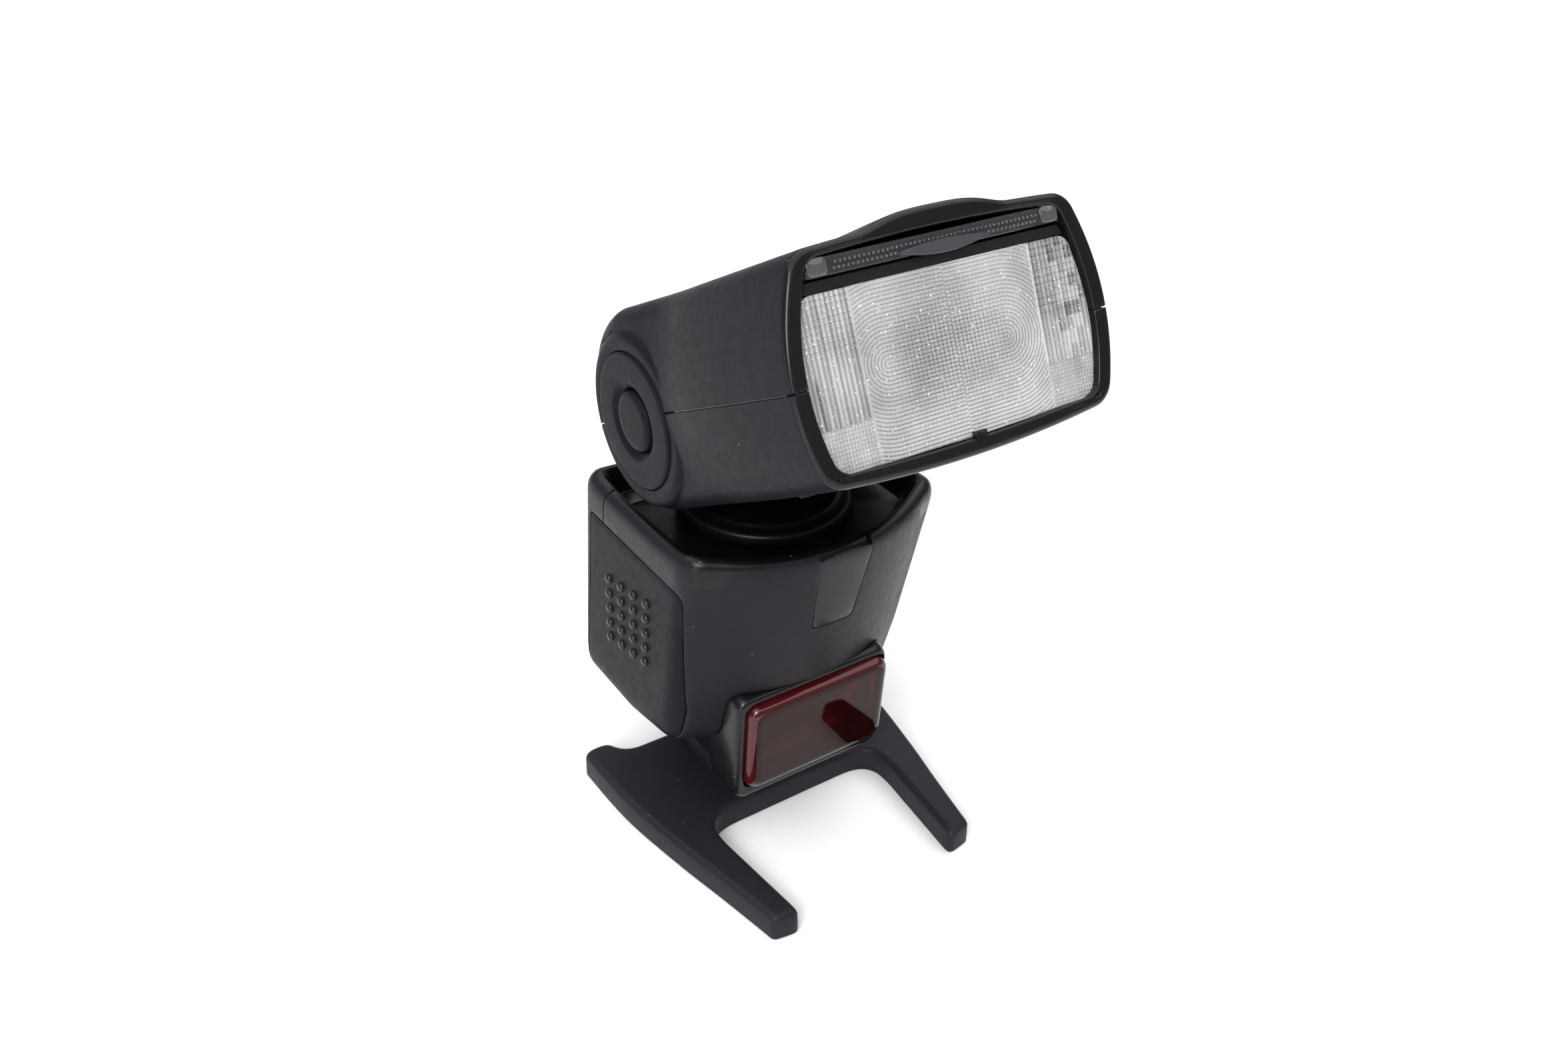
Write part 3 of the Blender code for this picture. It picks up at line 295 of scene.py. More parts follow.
def soften(ob, width, angle=50, segs=2):
    """Rounds the sharp edges: points that lie nearer to one than the rounding are welded to it first."""
    w = width * MM
    bm = bmesh.new()
    bm.from_mesh(ob.data)
    was = BVHTree.FromBMesh(bm)
    bmesh.ops.remove_doubles(bm, verts=bm.verts, dist=1.5e-5)
    bmesh.ops.dissolve_degenerate(bm, edges=bm.edges, dist=1e-5)

    def sharp():
        return [e for e in bm.edges if len(e.link_faces) == 2 and e.calc_face_angle(0.0) > rad(angle)]
    for _ in range(2):
        on = set(v for e in sharp() for v in e.verts)
        target = {}
        for v in bm.verts:
            if v in on:
                continue
            best = None
            for e in v.link_edges:
                o = e.other_vert(v)
                if o in on:
                    d = e.calc_length()
                    if d < 1.25 * w and (best is None or d < best[0]):
                        best = (d, o)
            if best:
                target[v] = best[1]
        if target:
            bmesh.ops.weld_verts(bm, targetmap=target)
            bmesh.ops.dissolve_degenerate(bm, edges=bm.edges, dist=1e-6)
    try:
        bmesh.ops.bevel(bm, geom=sharp(), offset=w, offset_type="OFFSET", segments=segs, profile=0.5, affect="EDGES", clamp_overlap=False, harden_normals=False)
    except Exception as err:
        print("bevel failed on", ob.name, err)
    for v in bm.verts:
        # a point thrown clear of the surface by a bevel at a sharp corner goes back to it
        near, _, _, far = was.find_nearest(v.co)
        if near is not None and far > 0.6 * w:
            v.co = near
    bmesh.ops.remove_doubles(bm, verts=bm.verts, dist=2e-6)
    bmesh.ops.dissolve_degenerate(bm, edges=bm.edges, dist=1e-6)
    bm.to_mesh(ob.data)
    bm.free()
    return ob


def seat(ob):
    """Head frame (tilt axis at the origin, front -Y) to the row frame."""
    ob.data.transform(Matrix.Translation(Vector(PIVOT) * MM) @ Matrix.Rotation(-rad(TILT), 4, "X"))
    ob.data.update()
    return ob


def pchip(xs, ys):
    xs = [float(x) for x in xs]
    ys = [float(y) for y in ys]
    n = len(xs)
    h = [xs[i + 1] - xs[i] for i in range(n - 1)]
    d = [(ys[i + 1] - ys[i]) / h[i] for i in range(n - 1)]
    m = [d[0]] + [0.0] * (n - 2) + [d[-1]]
    for i in range(1, n - 1):
        if d[i - 1] * d[i] > 0:
            w1, w2 = 2 * h[i] + h[i - 1], h[i] + 2 * h[i - 1]
            m[i] = (w1 + w2) / (w1 / d[i - 1] + w2 / d[i])
    def f(x):
        x = min(max(x, xs[0]), xs[-1])
        i = 0
        while i < n - 2 and x > xs[i + 1]:
            i += 1
        t = (x - xs[i]) / h[i]
        return (ys[i] * (1 + 2 * t) * (1 - t) ** 2 + h[i] * m[i] * t * (1 - t) ** 2 + ys[i + 1] * t * t * (3 - 2 * t) + h[i] * m[i + 1] * t * t * (t - 1))
    return f


def lin(a, b, n):
    return [a + (b - a) * i / (n - 1) for i in range(n)]


def lerp(x, xs, ys):
    return float(np.interp(x, xs, ys))


# ------------------------------------------------------------------ materials
def node_mat(name):
    m = bpy.data.materials.new(name)
    m.use_nodes = True
    nt = m.node_tree
    b = nt.nodes["Principled BSDF"]
    return m, nt, b


def noise(nt, co, scale, detail=2.0, rough=0.5):
    n = nt.nodes.new("ShaderNodeTexNoise")
    n.inputs["Scale"].default_value = scale
    n.inputs["Detail"].default_value = detail
    n.inputs["Roughness"].default_value = rough
    nt.links.new(co, n.inputs["Vector"])
    return n.outputs["Fac"]


def ramp(nt, fac, lo, hi, a=0.3, b=0.7):
    r = nt.nodes.new("ShaderNodeMapRange")
    r.inputs["From Min"].default_value = a
    r.inputs["From Max"].default_value = b
    r.inputs["To Min"].default_value = lo
    r.inputs["To Max"].default_value = hi
    nt.links.new(fac, r.inputs["Value"])
    return r.outputs["Result"]


def mixc(nt, fac, a, b):
    m = nt.nodes.new("ShaderNodeMix")
    m.data_type = "RGBA"
    if isinstance(fac, float):
        m.inputs[0].default_value = fac
    else:
        nt.links.new(fac, m.inputs[0])
    for s, c in ((6, a), (7, b)):
        if isinstance(c, tuple):
            m.inputs[s].default_value = (*c, 1) if len(c) == 3 else c
        else:
            nt.links.new(c, m.inputs[s])
    return m.outputs[2]


def coords(nt):
    t = nt.nodes.new("ShaderNodeTexCoord")
    return t.outputs["Object"]


def bump(nt, b, height, strength, dist):
    n = nt.nodes.new("ShaderNodeBump")
    n.inputs["Strength"].default_value = strength
    n.inputs["Distance"].default_value = dist
    nt.links.new(height, n.inputs["Height"])
    nt.links.new(n.outputs["Normal"], b.inputs["Normal"])


def dust_mask(nt, co, scale=330.0, size=0.035, share=0.82):
    """Sparse specks of dust: the middles of a few Voronoi cells."""
    v = nt.nodes.new("ShaderNodeTexVoronoi")
    v.inputs["Scale"].default_value = scale
    nt.links.new(co, v.inputs["Vector"])
    near = nt.nodes.new("ShaderNodeMath")
    near.operation = "LESS_THAN"
    near.inputs[1].default_value = size
    nt.links.new(v.outputs["Distance"], near.inputs[0])
    sep = nt.nodes.new("ShaderNodeSeparateColor")
    nt.links.new(v.outputs["Color"], sep.inputs["Color"])
    some = nt.nodes.new("ShaderNodeMath")
    some.operation = "GREATER_THAN"
    some.inputs[1].default_value = share
    nt.links.new(sep.outputs["Red"], some.inputs[0])
    both = nt.nodes.new("ShaderNodeMath")
    both.operation = "MULTIPLY"
    nt.links.new(near.outputs[0], both.inputs[0])
    nt.links.new(some.outputs[0], both.inputs[1])
    return both.outputs[0]


def plastic(name, base, rough, grain=0.10, grain_scale=3200.0, dust=True, spec=0.5, vary=0.05, edge=True):
    m, nt, b = node_mat(name)
    co = coords(nt)
    broad = noise(nt, co, 34.0, 3.0, 0.55)
    fine = noise(nt, co, grain_scale, 2.0, 0.6)
    mid = noise(nt, co, 420.0, 3.0, 0.6)
    light = tuple(min(1.0, c * 1.14) for c in base)
    dark = tuple(c * 0.88 for c in base)
    col = mixc(nt, ramp(nt, broad, 0.0, 1.0, 0.35, 0.65), dark, light)
    if edge:
        g = nt.nodes.new("ShaderNodeNewGeometry")
        worn = ramp(nt, g.outputs["Pointiness"], 0.0, 0.35, 0.53, 0.62)
        col = mixc(nt, worn, col, tuple(min(1.0, c * 1.9 + 0.006) for c in base))
    if dust:
        col = mixc(nt, dust_mask(nt, co), col, (0.42, 0.41, 0.42))
    nt.links.new(col, b.inputs["Base Color"])
    nt.links.new(ramp(nt, mid, rough - vary, rough + vary, 0.3, 0.7), b.inputs["Roughness"])
    b.inputs["Specular IOR Level"].default_value = spec
    if grain:
        bump(nt, b, fine, grain, 0.00006)
    return m


def metal(name, base, rough, grain=0.05, scale=900.0):
    m, nt, b = node_mat(name)
    co = coords(nt)
    st = nt.nodes.new("ShaderNodeMapping")
    st.inputs["Scale"].default_value = (1.0, 0.12, 1.0)
    nt.links.new(co, st.inputs["Vector"])
    n = noise(nt, st.outputs["Vector"], scale, 4.0, 0.6)
    nt.links.new(mixc(nt, n, tuple(c * 0.85 for c in base), base), b.inputs["Base Color"])
    nt.links.new(ramp(nt, n, rough * 0.75, rough * 1.25), b.inputs["Roughness"])
    b.inputs["Metallic"].default_value = 1.0
    bump(nt, b, n, grain, 0.00004)
    return m


def clear(name, base, rough, ior=1.49, trans=1.0, scratch=0.03, scale=700.0, dust=False):
    m, nt, b = node_mat(name)
    co = coords(nt)
    n = noise(nt, co, scale, 3.0, 0.6)
    col = mixc(nt, n, tuple(c * 0.96 for c in base), base)
    if dust:
        col = mixc(nt, dust_mask(nt, co, 300.0, 0.03, 0.8), col, (0.95, 0.95, 0.95))
    nt.links.new(col, b.inputs["Base Color"])
    nt.links.new(ramp(nt, n, max(0.0, rough * 0.7), rough * 1.3), b.inputs["Roughness"])
    b.inputs["Transmission Weight"].default_value = trans
    b.inputs["IOR"].default_value = ior
    if scratch:
        bump(nt, b, n, scratch, 0.00003)
    return m


SHELL = plastic("shell_plastic", (0.0100, 0.0080, 0.0118), 0.40, grain=0.14, spec=0.045)
# painted shade: a darker copy of the body plastic for the left-facing battery door
DOOR_SHADED = plastic("door_plastic_painted_shade", (0.0092, 0.0074, 0.0106), 0.40, grain=0.14, spec=0.04)
BODYM = plastic("body_plastic", (0.0118, 0.0098, 0.0134), 0.40, grain=0.14, spec=0.12)
RIM = plastic("rim_plastic", (0.0050, 0.0050, 0.0064), 0.23, grain=0.04, spec=0.28, vary=0.04, edge=False)
STANDM = plastic("stand_plastic", (0.0175, 0.0156, 0.0212), 0.42, grain=0.16, grain_scale=2600.0, spec=0.12)
GLOSS = plastic("gloss_black_plastic", (0.0030, 0.0030, 0.0034), 0.38, grain=0.03, vary=0.04, spec=0.22, edge=False)
# near-black: painted shade for the well inside the rim and the recess behind the sensor window
WELL_SHADE = plastic("well_painted_shade", (0.0030, 0.0030, 0.0034), 0.30, grain=0.04, vary=0.04, spec=0.25, edge=False)
SMOKE = plastic("smoked_plastic", (0.0170, 0.0142, 0.0185), 0.28, grain=0.02, vary=0.03, dust=False, spec=0.17, edge=False)
KEYM = plastic("key_rubber", (0.035, 0.035, 0.038), 0.62, grain=0.22, grain_scale=2200.0)
GREY = plastic("inner_plastic", (0.075, 0.075, 0.08), 0.52, grain=0.1, dust=False)
WHITE = plastic("white_plastic", (0.75, 0.75, 0.74), 0.4, grain=0.05, dust=False, edge=False)
BARM = plastic("bar_plastic", (0.0045, 0.0045, 0.0050), 0.40, grain=0.08, vary=0.04, spec=0.3, edge=False)
STEEL = metal("steel", (0.62, 0.61, 0.59), 0.28)
GOLD = metal("gold_plate", (0.83, 0.60, 0.28), 0.24)
BRIGHT = metal("bright_reflector", (0.90, 0.90, 0.89), 0.16, grain=0.02)
# grey tint of the clear wide panel: painted shade for the dark slot seen through it
PANEL_SHADE = clear("wide_panel_plastic_painted_shade", (0.34, 0.34, 0.36), 0.06, 1.49, 0.94, 0.02, 1200.0)
PADM = clear("panel_pad_plastic", (0.36, 0.36, 0.38), 0.06, 1.49, 0.85, 0.02, 900.0)
TABM = clear("panel_tab_plastic", (0.10, 0.10, 0.115), 0.12, 1.49, 0.55, 0.02, 900.0)
TUBEM = clear("tube_glass", (0.98, 0.98, 0.98), 0.03, 1.47)
REDM = clear("red_filter", (0.085, 0.005, 0.006), 0.04, 1.31, 0.9, 0.01, 500.0)
REDE = clear("red_filter_edge", (0.085, 0.005, 0.006), 0.06, 1.49, 0.35, 0.01, 500.0)
LCDW = clear("lcd_clear", (0.80, 0.84, 0.80), 0.05, 1.46)
LCDM = plastic("lcd_grey", (0.33, 0.38, 0.31), 0.35, grain=0.03, dust=False, edge=False)
AMBER = clear("pilot_amber", (0.75, 0.18, 0.05), 0.15, 1.49, 0.55)
PCB = plastic("circuit_board", (0.015, 0.10, 0.04), 0.4, grain=0.06, dust=False)
SLEEVE = plastic("capacitor_sleeve", (0.02, 0.02, 0.045), 0.25, grain=0.02, dust=False)


def put(ob, m):
    ob.data.materials.clear()
    ob.data.materials.append(m)
    return ob


def done(ob, body, m, slot, *nodes, angle=38):
    put(ob, m) if m else None
    shade(ob, angle)
    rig.ride(ob, body)
    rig.slot(ob, slot)
    if nodes:
        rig.replaces(ob, *nodes)
    return ob


# ------------------------------------------------------------------ BODY
def closed_ring(half, n, sig):
    """half: dense outline from (0, rear) round the +x side to (0, front). Returns n points of the whole ring, evened and smoothed."""
    h = np.array(half)
    s = np.concatenate([[0], np.cumsum(np.hypot(*np.diff(h, axis=0).T))])
    t = np.linspace(0, s[-1], n // 2 + 1)
    p = np.stack([np.interp(t, s, h[:, 0]), np.interp(t, s, h[:, 1])], 1)
    full = np.concatenate([p, (p[1:-1] * [-1, 1])[::-1]])
    step = s[-1] / (n // 2)
    k = max(1, int(3 * sig / step) + 1)
    w = np.exp(-0.5 * (np.arange(-k, k + 1) * step / sig) ** 2)
    w /= w.sum()
    out = sum(wi * np.roll(full, -j, axis=0) for wi, j in zip(w, range(-k, k + 1)))
    return out


def body_ring(z, o, n=240, sig=0.9):
    k = 88.0 - z
    w = 34.2 - 0.034 * k - o
    yr = 24.4 + LEAN_R * k - o
    yc = -35.3 + LEAN_F * k + o
    ye = -26.6 + LEAN_F * 0.93 * k + o
    rr = max(5.0 - 0.7 * o, 2.5)
    rf = max(7.5 - 0.7 * o, 3.5)
    pts = [(x, yr + 0.9 * (1 - (x / (w - rr)) ** 2)) for x in lin(0, w - rr, 14)]
    pts += [(w - rr + rr * math.cos(rad(t)), yr - rr + rr * math.sin(rad(t))) for t in lin(90, 0, 12)[1:]]
    pts += [(w, y) for y in lin(yr - rr, ye + rf, 14)[1:]]
    pts += [(w - rf + rf * math.cos(rad(t)), ye + rf + rf * math.sin(rad(t))) for t in lin(0, -72, 14)[1:]]
    x1, y1 = pts[-1]
    pts += [(x, y1 + (yc - y1) * (1 - (x / x1) ** 2)) for x in lin(x1, 0, 40)[1:]]
    return closed_ring(pts, n, sig)


BT = 88.4
PROFILE = [(24.5, 5.5), (24.75, 4.2), (25.2, 3.1), (25.8, 2.15), (26.6, 1.4), (27.7, 0.8), (29.1, 0.38), (31.0, 0.12), (33.5, 0)]
PROFILE += [(z, 0) for z in (37, 41, 45, 49, 53, 57, 61, 65, 69, 73, 77, 80, 82.5, 84.2)]
PROFILE += [(85.5, 0.06), (86.3, 0.22), (86.95, 0.5), (87.45, 0.85), (87.85, 1.28), (88.12, 1.75), (88.3, 2.2), (88.38, 2.65), (88.34, 3.05), (88.15, 3.42), (87.8, 3.75), (87.2, 4.1), (86.4, 4.42), (85.4, 4.76), (84.4, 5.1), (83.5, 5.45), (82.95, 5.85), (82.68, 6.5)]


def body_rings(profile, n, z_bot, rim):
    rings = []
    for z, o in profile:
        out = []
        for x, y in body_ring(z, o, n):
            f = max(0.0, 1.0 - (z - z_bot) / 22.0)
            zz = z + f * max(0.0, 10.0 - y) * 0.20
            if rim and z > BT - 4.5:
                zz += 1.2 * min(1.0, abs(x) / 31.0) ** 4 * min(1.0, abs(y + 1.0) / 21.0) ** 4 * (z - (BT - 4.5)) / 4.5
            out.append((x, y, zz))
        rings.append(out)
    return rings


whole = loft("whole", body_rings(PROFILE, 240, 24.5, True))
inner = loft("inner", body_rings([(27.0, 7.5), (27.8, 5.0), (29.2, 3.3), (31.6, 2.35), (36, 2), (48, 2), (62, 2), (78.3, 2), (80.3, 3)], 80, 27.0, False))
neck_hole = turned("neck_hole", "z", (0, SWIVEL_Y), ((78, 13.0), (84, 13.0)), 64)
cut(whole, inner, neck_hole)


def seam_poly(front, g):
    y_at = lambda z: 13.0 + LEAN_R * (85.5 - z)
    if front:
        return [(-80, 10), (y_at(10) - g, 10), (y_at(100) - g, 100), (-80, 100)]
    return [(90, 10), (90, 100), (y_at(100) + g, 100), (y_at(10) + g, 10)]


def round_poly(pts, radii, n=6):
    """Rounds the corners of a polygon."""
    out = []
    m = len(pts)
    for i in range(m):
        p, a, b = Vector(pts[i]), Vector(pts[i - 1]), Vector(pts[(i + 1) % m])
        r = radii[i]
        if not r:
            out.append(tuple(p))
            continue
        u, v = (a - p).normalized(), (b - p).normalized()
        ang = u.angle(v)
        d = r / math.tan(ang / 2)
        s, e = p + u * d, p + v * d
        for k in range(n + 1):
            t = k / n
            out.append(tuple(s * (1 - t) ** 2 + p * 2 * t * (1 - t) + e * t * t))
    return out


def door_poly(g):
    a, b = (-20.4 - g, 79.2 + g), (20.2 + g, 79.6 + g)
    rear_low = (20.2 + g + LEAN_D * (79.6 - 8), 8)
    front_low = (-20.4 - g + 0.145 * (79.2 - 8), 8)
    return round_poly([front_low, rear_low, b, a], [0, 0, 1.6 + g, 2.6 + g])


door = dup(whole, "battery_door_shell")
keep(door, prism("k", door_poly(0.0), "x", -50, -29.7))
soften(door, 0.16)


def fy(z):
    return -35.3 + LEAN_F * (88.0 - z)


def slab(name, poly_xz, d0, d1, bow=8.0, wide=31.0):
    n = len(poly_xz)
    b = lambda x: bow * (x / wide) ** 2
    verts = [(x, fy(z) + b(x) + d0, z) for x, z in poly_xz] + [(x, fy(z) + b(x) + d1, z) for x, z in poly_xz]
    faces = [tuple(range(n)), tuple(range(n, 2 * n))[::-1]] + [(i, (i + 1) % n, n + (i + 1) % n, n + i) for i in range(n)]
    return tidy(new_mesh(name, verts, faces))


def win_outline(g, top, arch):
    """Sensor window, wider at its top: the lower corners are round."""
    pts = [(x, top + g - arch * (x / 7.0) ** 2) for x in lin(7.0 + g, -7.0 - g, 15)]
    left = round_poly([(-7.0 - g, top), (-5.45 - g, 65.6 - g), (5.45 + g, 65.6 - g), (7.0 + g, top)], [0, 1.7 + g, 1.7 + g, 0], 8)
    return pts + left[1:-1]


under = loft("under", body_rings([(z - (0.45 if z > 86 else 0.0), o + 0.85) for z, o in PROFILE if z > 60], 240, 24.5, True))
front = dup(whole, "body_front_case")
sensor = dup(whole, "sensor_window_panel")
keep(front, prism("k", seam_poly(True, 0.12), "x", -60, 60))
rear = dup(whole, "body_rear_case")
keep(rear, prism("k", seam_poly(False, 0.12), "x", -60, 60))
drop(whole)
keep(sensor, slab("w", [(x, z) for x, z in win_outline(-0.02, 87.35, 1.0)], -7, 6.2))
soften(sensor, 0.12)
recess = keep(under, slab("w", win_outline(0.14, 92.0, 0.0), -7, 6.35))
cut(front, prism("d", door_poly(0.28), "x", -50, -29.4), slab("w", win_outline(0.16, 92.0, 0.0), -7, 6.4), slab("a", rrect(-21.6, 21.6, 12, 47.72, 3.3), -8, 14), box("f", -17.2, 17.2, -13.2, 24.2, 10, 34))
soften(front, 0.2)

# rear panel openings
def ry(z):
    return 24.4 + LEAN_R * (88.0 - z) + 0.9


def rear_slab(name, poly, d0, d1, bow=0.9):
    n = len(poly)
    b = lambda x: -bow * (x / 28.0) ** 2
    verts = [(x, ry(z) + b(x) + d0, z) for x, z in poly] + [(x, ry(z) + b(x) + d1, z) for x, z in poly]
    faces = [tuple(range(n)), tuple(range(n, 2 * n))[::-1]] + [(i, (i + 1) % n, n + (i + 1) % n, n + i) for i in range(n)]
    return tidy(new_mesh(name, verts, faces))


G = 0.25
KEYS = (("key_light", -13.2, 60.6, 6.4, 3.4, 1.6), ("key_mode", 0.0, 60.6, 6.4, 3.4, 1.6), ("key_sync", 13.2, 60.6, 6.4, 3.4, 1.6), ("key_zoom", -18.0, 50.0, 6.4, 3.4, 1.6),
        ("key_minus", -8.6, 50.0, 5.6, 5.6, 2.6), ("key_select", 0.0, 50.0, 7.6, 7.6, 3.6), ("key_plus", 8.6, 50.0, 5.6, 5.6, 2.6), ("test_button", -13.0, 38.6, 7.4, 7.4, 3.5))
holes = [prism("d", door_poly(0.28), "x", -50, -29.4), box("f", -17.2, 17.2, -13.2, 24.2, 10, 34), rear_slab("l", rrect(-17.25, 17.25, 66.25, 79.95, 1.2, 6), -6, 6), rear_slab("s", rrect(7.0, 17.0, 36.6, 40.6, 0.8, 5), -6, 6)]
for nm, cx, cz, w, h, r in KEYS:
    holes.append(rear_slab("h", rrect(cx - w / 2 - G, cx + w / 2 + G, cz - h / 2 - G, cz + h / 2 + G, r + G, 8), -6, 6))
pd = Vector((-0.034, -LEAN_D, 1)).normalized()
p0 = Vector((-31.65, 30.385, 36.5))


def rod(name, a, b, r, n=16):
    a, b = Vector(a), Vector(b)
    d = (b - a).normalized()
    u = d.orthogonal().normalized()
    w = d.cross(u)
    return loft(name, [[tuple(q + u * r * math.cos(2 * math.pi * i / n) + w * r * math.sin(2 * math.pi * i / n)) for i in range(n)] for q in (a, b)])


holes += [rod("g", p0 - pd * 6 + Vector((0, -0.4 * k, 0)), p0 + pd * 30.6 + Vector((0, -0.4 * k, 0)), 0.55) for k in range(3)]
cut(rear, *holes)
soften(rear, 0.2)
# the battery door takes the darker copy of the body plastic, painted shade of the left side
for ob, nodes, body in ((front, "body_front_shell", "flash_body"), (rear, "body_rear_shell", "flash_body"), (door, "battery_door", "battery_door")):
    done(ob, body, DOOR_SHADED if body == "battery_door" else BODYM, "shell_plastic", nodes)

# the well inside the rim is darker and smoother than the outside; the darker colour is painted shade for the hollow
# under the head
def paint(ob, mats, pick):
    """Gives each face the material number that pick(centre in mm, normal) says."""
    me = ob.data
    me.materials.clear()
    for m in mats:
        me.materials.append(m)
    for p in me.polygons:
        c = p.center
        p.material_index = pick((c.x / MM, c.y / MM, c.z / MM), p.normal)


def well_shade_pick(c, n):
    x, y, z = c
    if z > 82.5 and z < 90:
        k = 88.0 - z
        w = 34.2 - 0.034 * k
        if abs(x) < w - 1.9 and y < 24.4 + LEAN_R * k - 1.8 and y > fy(z) + 8.0 * (min(abs(x), 31) / 31.0) ** 2 + 1.7:
            return 1
    return 0


for ob in (front, rear):
    paint(ob, (BODYM, WELL_SHADE), well_shade_pick)

# grip dots on the door; their plastic is darker than the door's, painted shade on the small bumps
dv, df = [], []
for r in range(5):
    for c in range(4):
        yy = 13.6 - 6.15 * c + 0.9 * r * 0.55 + 0.15 * r * c * 0.5
        zz = 64.3 + 1.25 * c - 4.6 * r
        xx = -(34.2 - 0.034 * (88 - zz))
        base = len(dv)
        rows = ((0.25, 1.22), (-0.10, 1.22), (-0.36, 1.16), (-0.60, 1.0), (-0.80, 0.76), (-0.92, 0.48), (-0.97, 0.2))
        n = 20
        for t, q in rows:
            dv += [(xx + t, yy + q * math.cos(2 * math.pi * i / n), zz + q * math.sin(2 * math.pi * i / n)) for i in range(n)]
        for k in range(len(rows) - 1):
            df += [(base + k * n + i, base + k * n + (i + 1) % n, base + (k + 1) * n + (i + 1) % n, base + (k + 1) * n + i) for i in range(n)]
        df += [tuple(base + i for i in range(n))[::-1], tuple(base + (len(rows) - 1) * n + i for i in range(n))]
dots = tidy(new_mesh("grip_dots", dv, df))
# the dots' darker base colour is painted shade
done(dots, "battery_door", plastic("grip_plastic_painted_shade", (0.0065, 0.006, 0.0075), 0.26, grain=0.04, dust=False, spec=0.4, edge=False), "shell_plastic", angle=60)

# sensor window, and the recess that it sits in
done(sensor, "flash_body", SMOKE, "smoked_plastic", "sensor_window")
recess.name = "sensor_recess"
# the recess behind the window takes the same painted shade as the well
done(recess, "flash_body", WELL_SHADE, "gloss_black")

# ------------------------------------------------------------------ AF-assist module
def leany(y, z):
    return y + (43.4 - z) * 0.06


def af_loft(name, rows, n=8, more=0.0):
    """more: how much further the right-hand side reaches."""
    return loft(name, [[(p[0], leany(y, p[1]), p[1]) for p in rrect(-xw, xw + more, z0, z1, r, n)] for y, z0, z1, xw, r in rows], fan=False)


house = af_loft("af_bezel", ((-24.75, 17.1, 45.5, 20.2, 2.7), (-24.7, 16.6, 46.1, 20.6, 3.0), (-24.45, 16.2, 46.6, 20.95, 3.2), (-24.0, 15.95, 46.95, 21.2, 3.3), (-23.2, 15.8, 47.3, 21.38, 3.3), (-20.5, 15.7, 47.6, 21.5, 3.2), (-14.5, 16.3, 47.6, 21.5, 3.2), (-12.6, 17.4, 47.2, 21.0, 3.0)))
cut(house, af_loft("i", ((-34, 18.95, 45.35, 19.2, 2.6), (-14.4, 19.0, 45.35, 19.2, 2.6)), more=1.75))
soften(house, 0.12)
done(house, "flash_body", RIM, "gloss_black", "af_housing")
red = af_loft("af_window_lens", [(y, 19.25 + i, 45.08 - i, 19.03 - i, 3.4 - 0.35 * i) for y, i in ((-27.3, 3.0), (-27.27, 2.45), (-27.16, 1.9), (-26.97, 1.4), (-26.68, 0.95), (-26.28, 0.55), (-25.78, 0.25), (-25.2, 0.07), (-24.5, 0.0))] + [(-17.0, 19.6, 45.08, 19.05, 3.3)], 10, 1.7)
cut(red, af_loft("i", ((-25.0, 23.2, 41.6, 15.6, 1.4), (-24.7, 22.6, 42.2, 16.2, 1.6), (-13, 22.7, 42.3, 16.3, 1.6)), 8, 1.5))
done(red, "flash_body", REDM, "red_filter", "af_window", angle=50)
paint(red, (REDM, REDE), lambda c, n: 0 if n.y < -0.93 or c[1] > -24.6 and abs(n.y) < 0.5 and abs(c[0] - 0.85) < 17.5 and 22.0 < c[2] < 42.6 else 1)
tray = af_loft("af_inner_tray", ((-19.0, 20.2, 44.4, 18.4, 2.0), (-18.4, 20.2, 44.4, 18.4, 2.0)), 6, 1.6)
done(tray, "flash_body", plastic("af_tray_plastic", (0.020, 0.009, 0.010), 0.5, dust=False), "inner_plastic")

# ------------------------------------------------------------------ STAND
def catmull(pts, n=4):
    out = []
    for i in range(len(pts) - 1):
        q0, q1, q2, q3 = pts[max(i - 1, 0)], pts[i], pts[i + 1], pts[min(i + 2, len(pts) - 1)]
        for k in range(n):
            t = k / n
            out.append(tuple(0.5 * ((2 * q1[a]) + (-q0[a] + q2[a]) * t + (2 * q0[a] - 5 * q1[a] + 4 * q2[a] - q3[a]) * t * t + (-q0[a] + 3 * q1[a] - 3 * q2[a] + q3[a]) * t ** 3) for a in (0, 1)))
    out.append(pts[-1])
    return out


leg_out = catmull([(-39.8, 20.4), (-38.9, 0.0), (-35.6, -20.0), (-32.4, -35.0), (-29.5, -49.4)], 8)
tip = catmull([(-29.5, -49.4), (-29.1, -51.4), (-28.1, -52.2), (-24.0, -52.9), (-22.8, -52.6), (-22.4, -51.4), (-22.9, -46.0)], 4)[1:]
leg_in = catmull([(-22.9, -46.0), (-24.2, -33.0), (-25.0, -23.5), (-24.0, -18.4), (-19.5, -15.9), (-10.0, -15.6), (0.0, -15.6)], 8)[1:]
rear_e = catmull([(0.0, 16.6), (-12.0, 16.6), (-22.0, 16.8), (-27.5, 16.9), (-30.6, 18.6), (-31.8, 21.0)], 6)
rear_c = catmull([(-31.8, 21.0), (-33.2, 22.2), (-37.6, 22.2), (-39.2, 21.4), (-39.8, 20.4)], 4)[1:-1]
half = rear_e[1:] + rear_c + leg_out + tip + leg_in[:-1]
outline = [(0.0, 16.6)] + half + [(0.0, -15.6)] + [(-x, y) for x, y in half[::-1]]


def even(p, n):
    q = np.vstack([p, p[:1]])
    d = np.concatenate([[0], np.cumsum(np.hypot(*np.diff(q, axis=0).T))])
    t = np.linspace(0, d[-1], n, endpoint=False)
    return np.stack([np.interp(t, d, q[:, 0]), np.interp(t, d, q[:, 1])], 1)


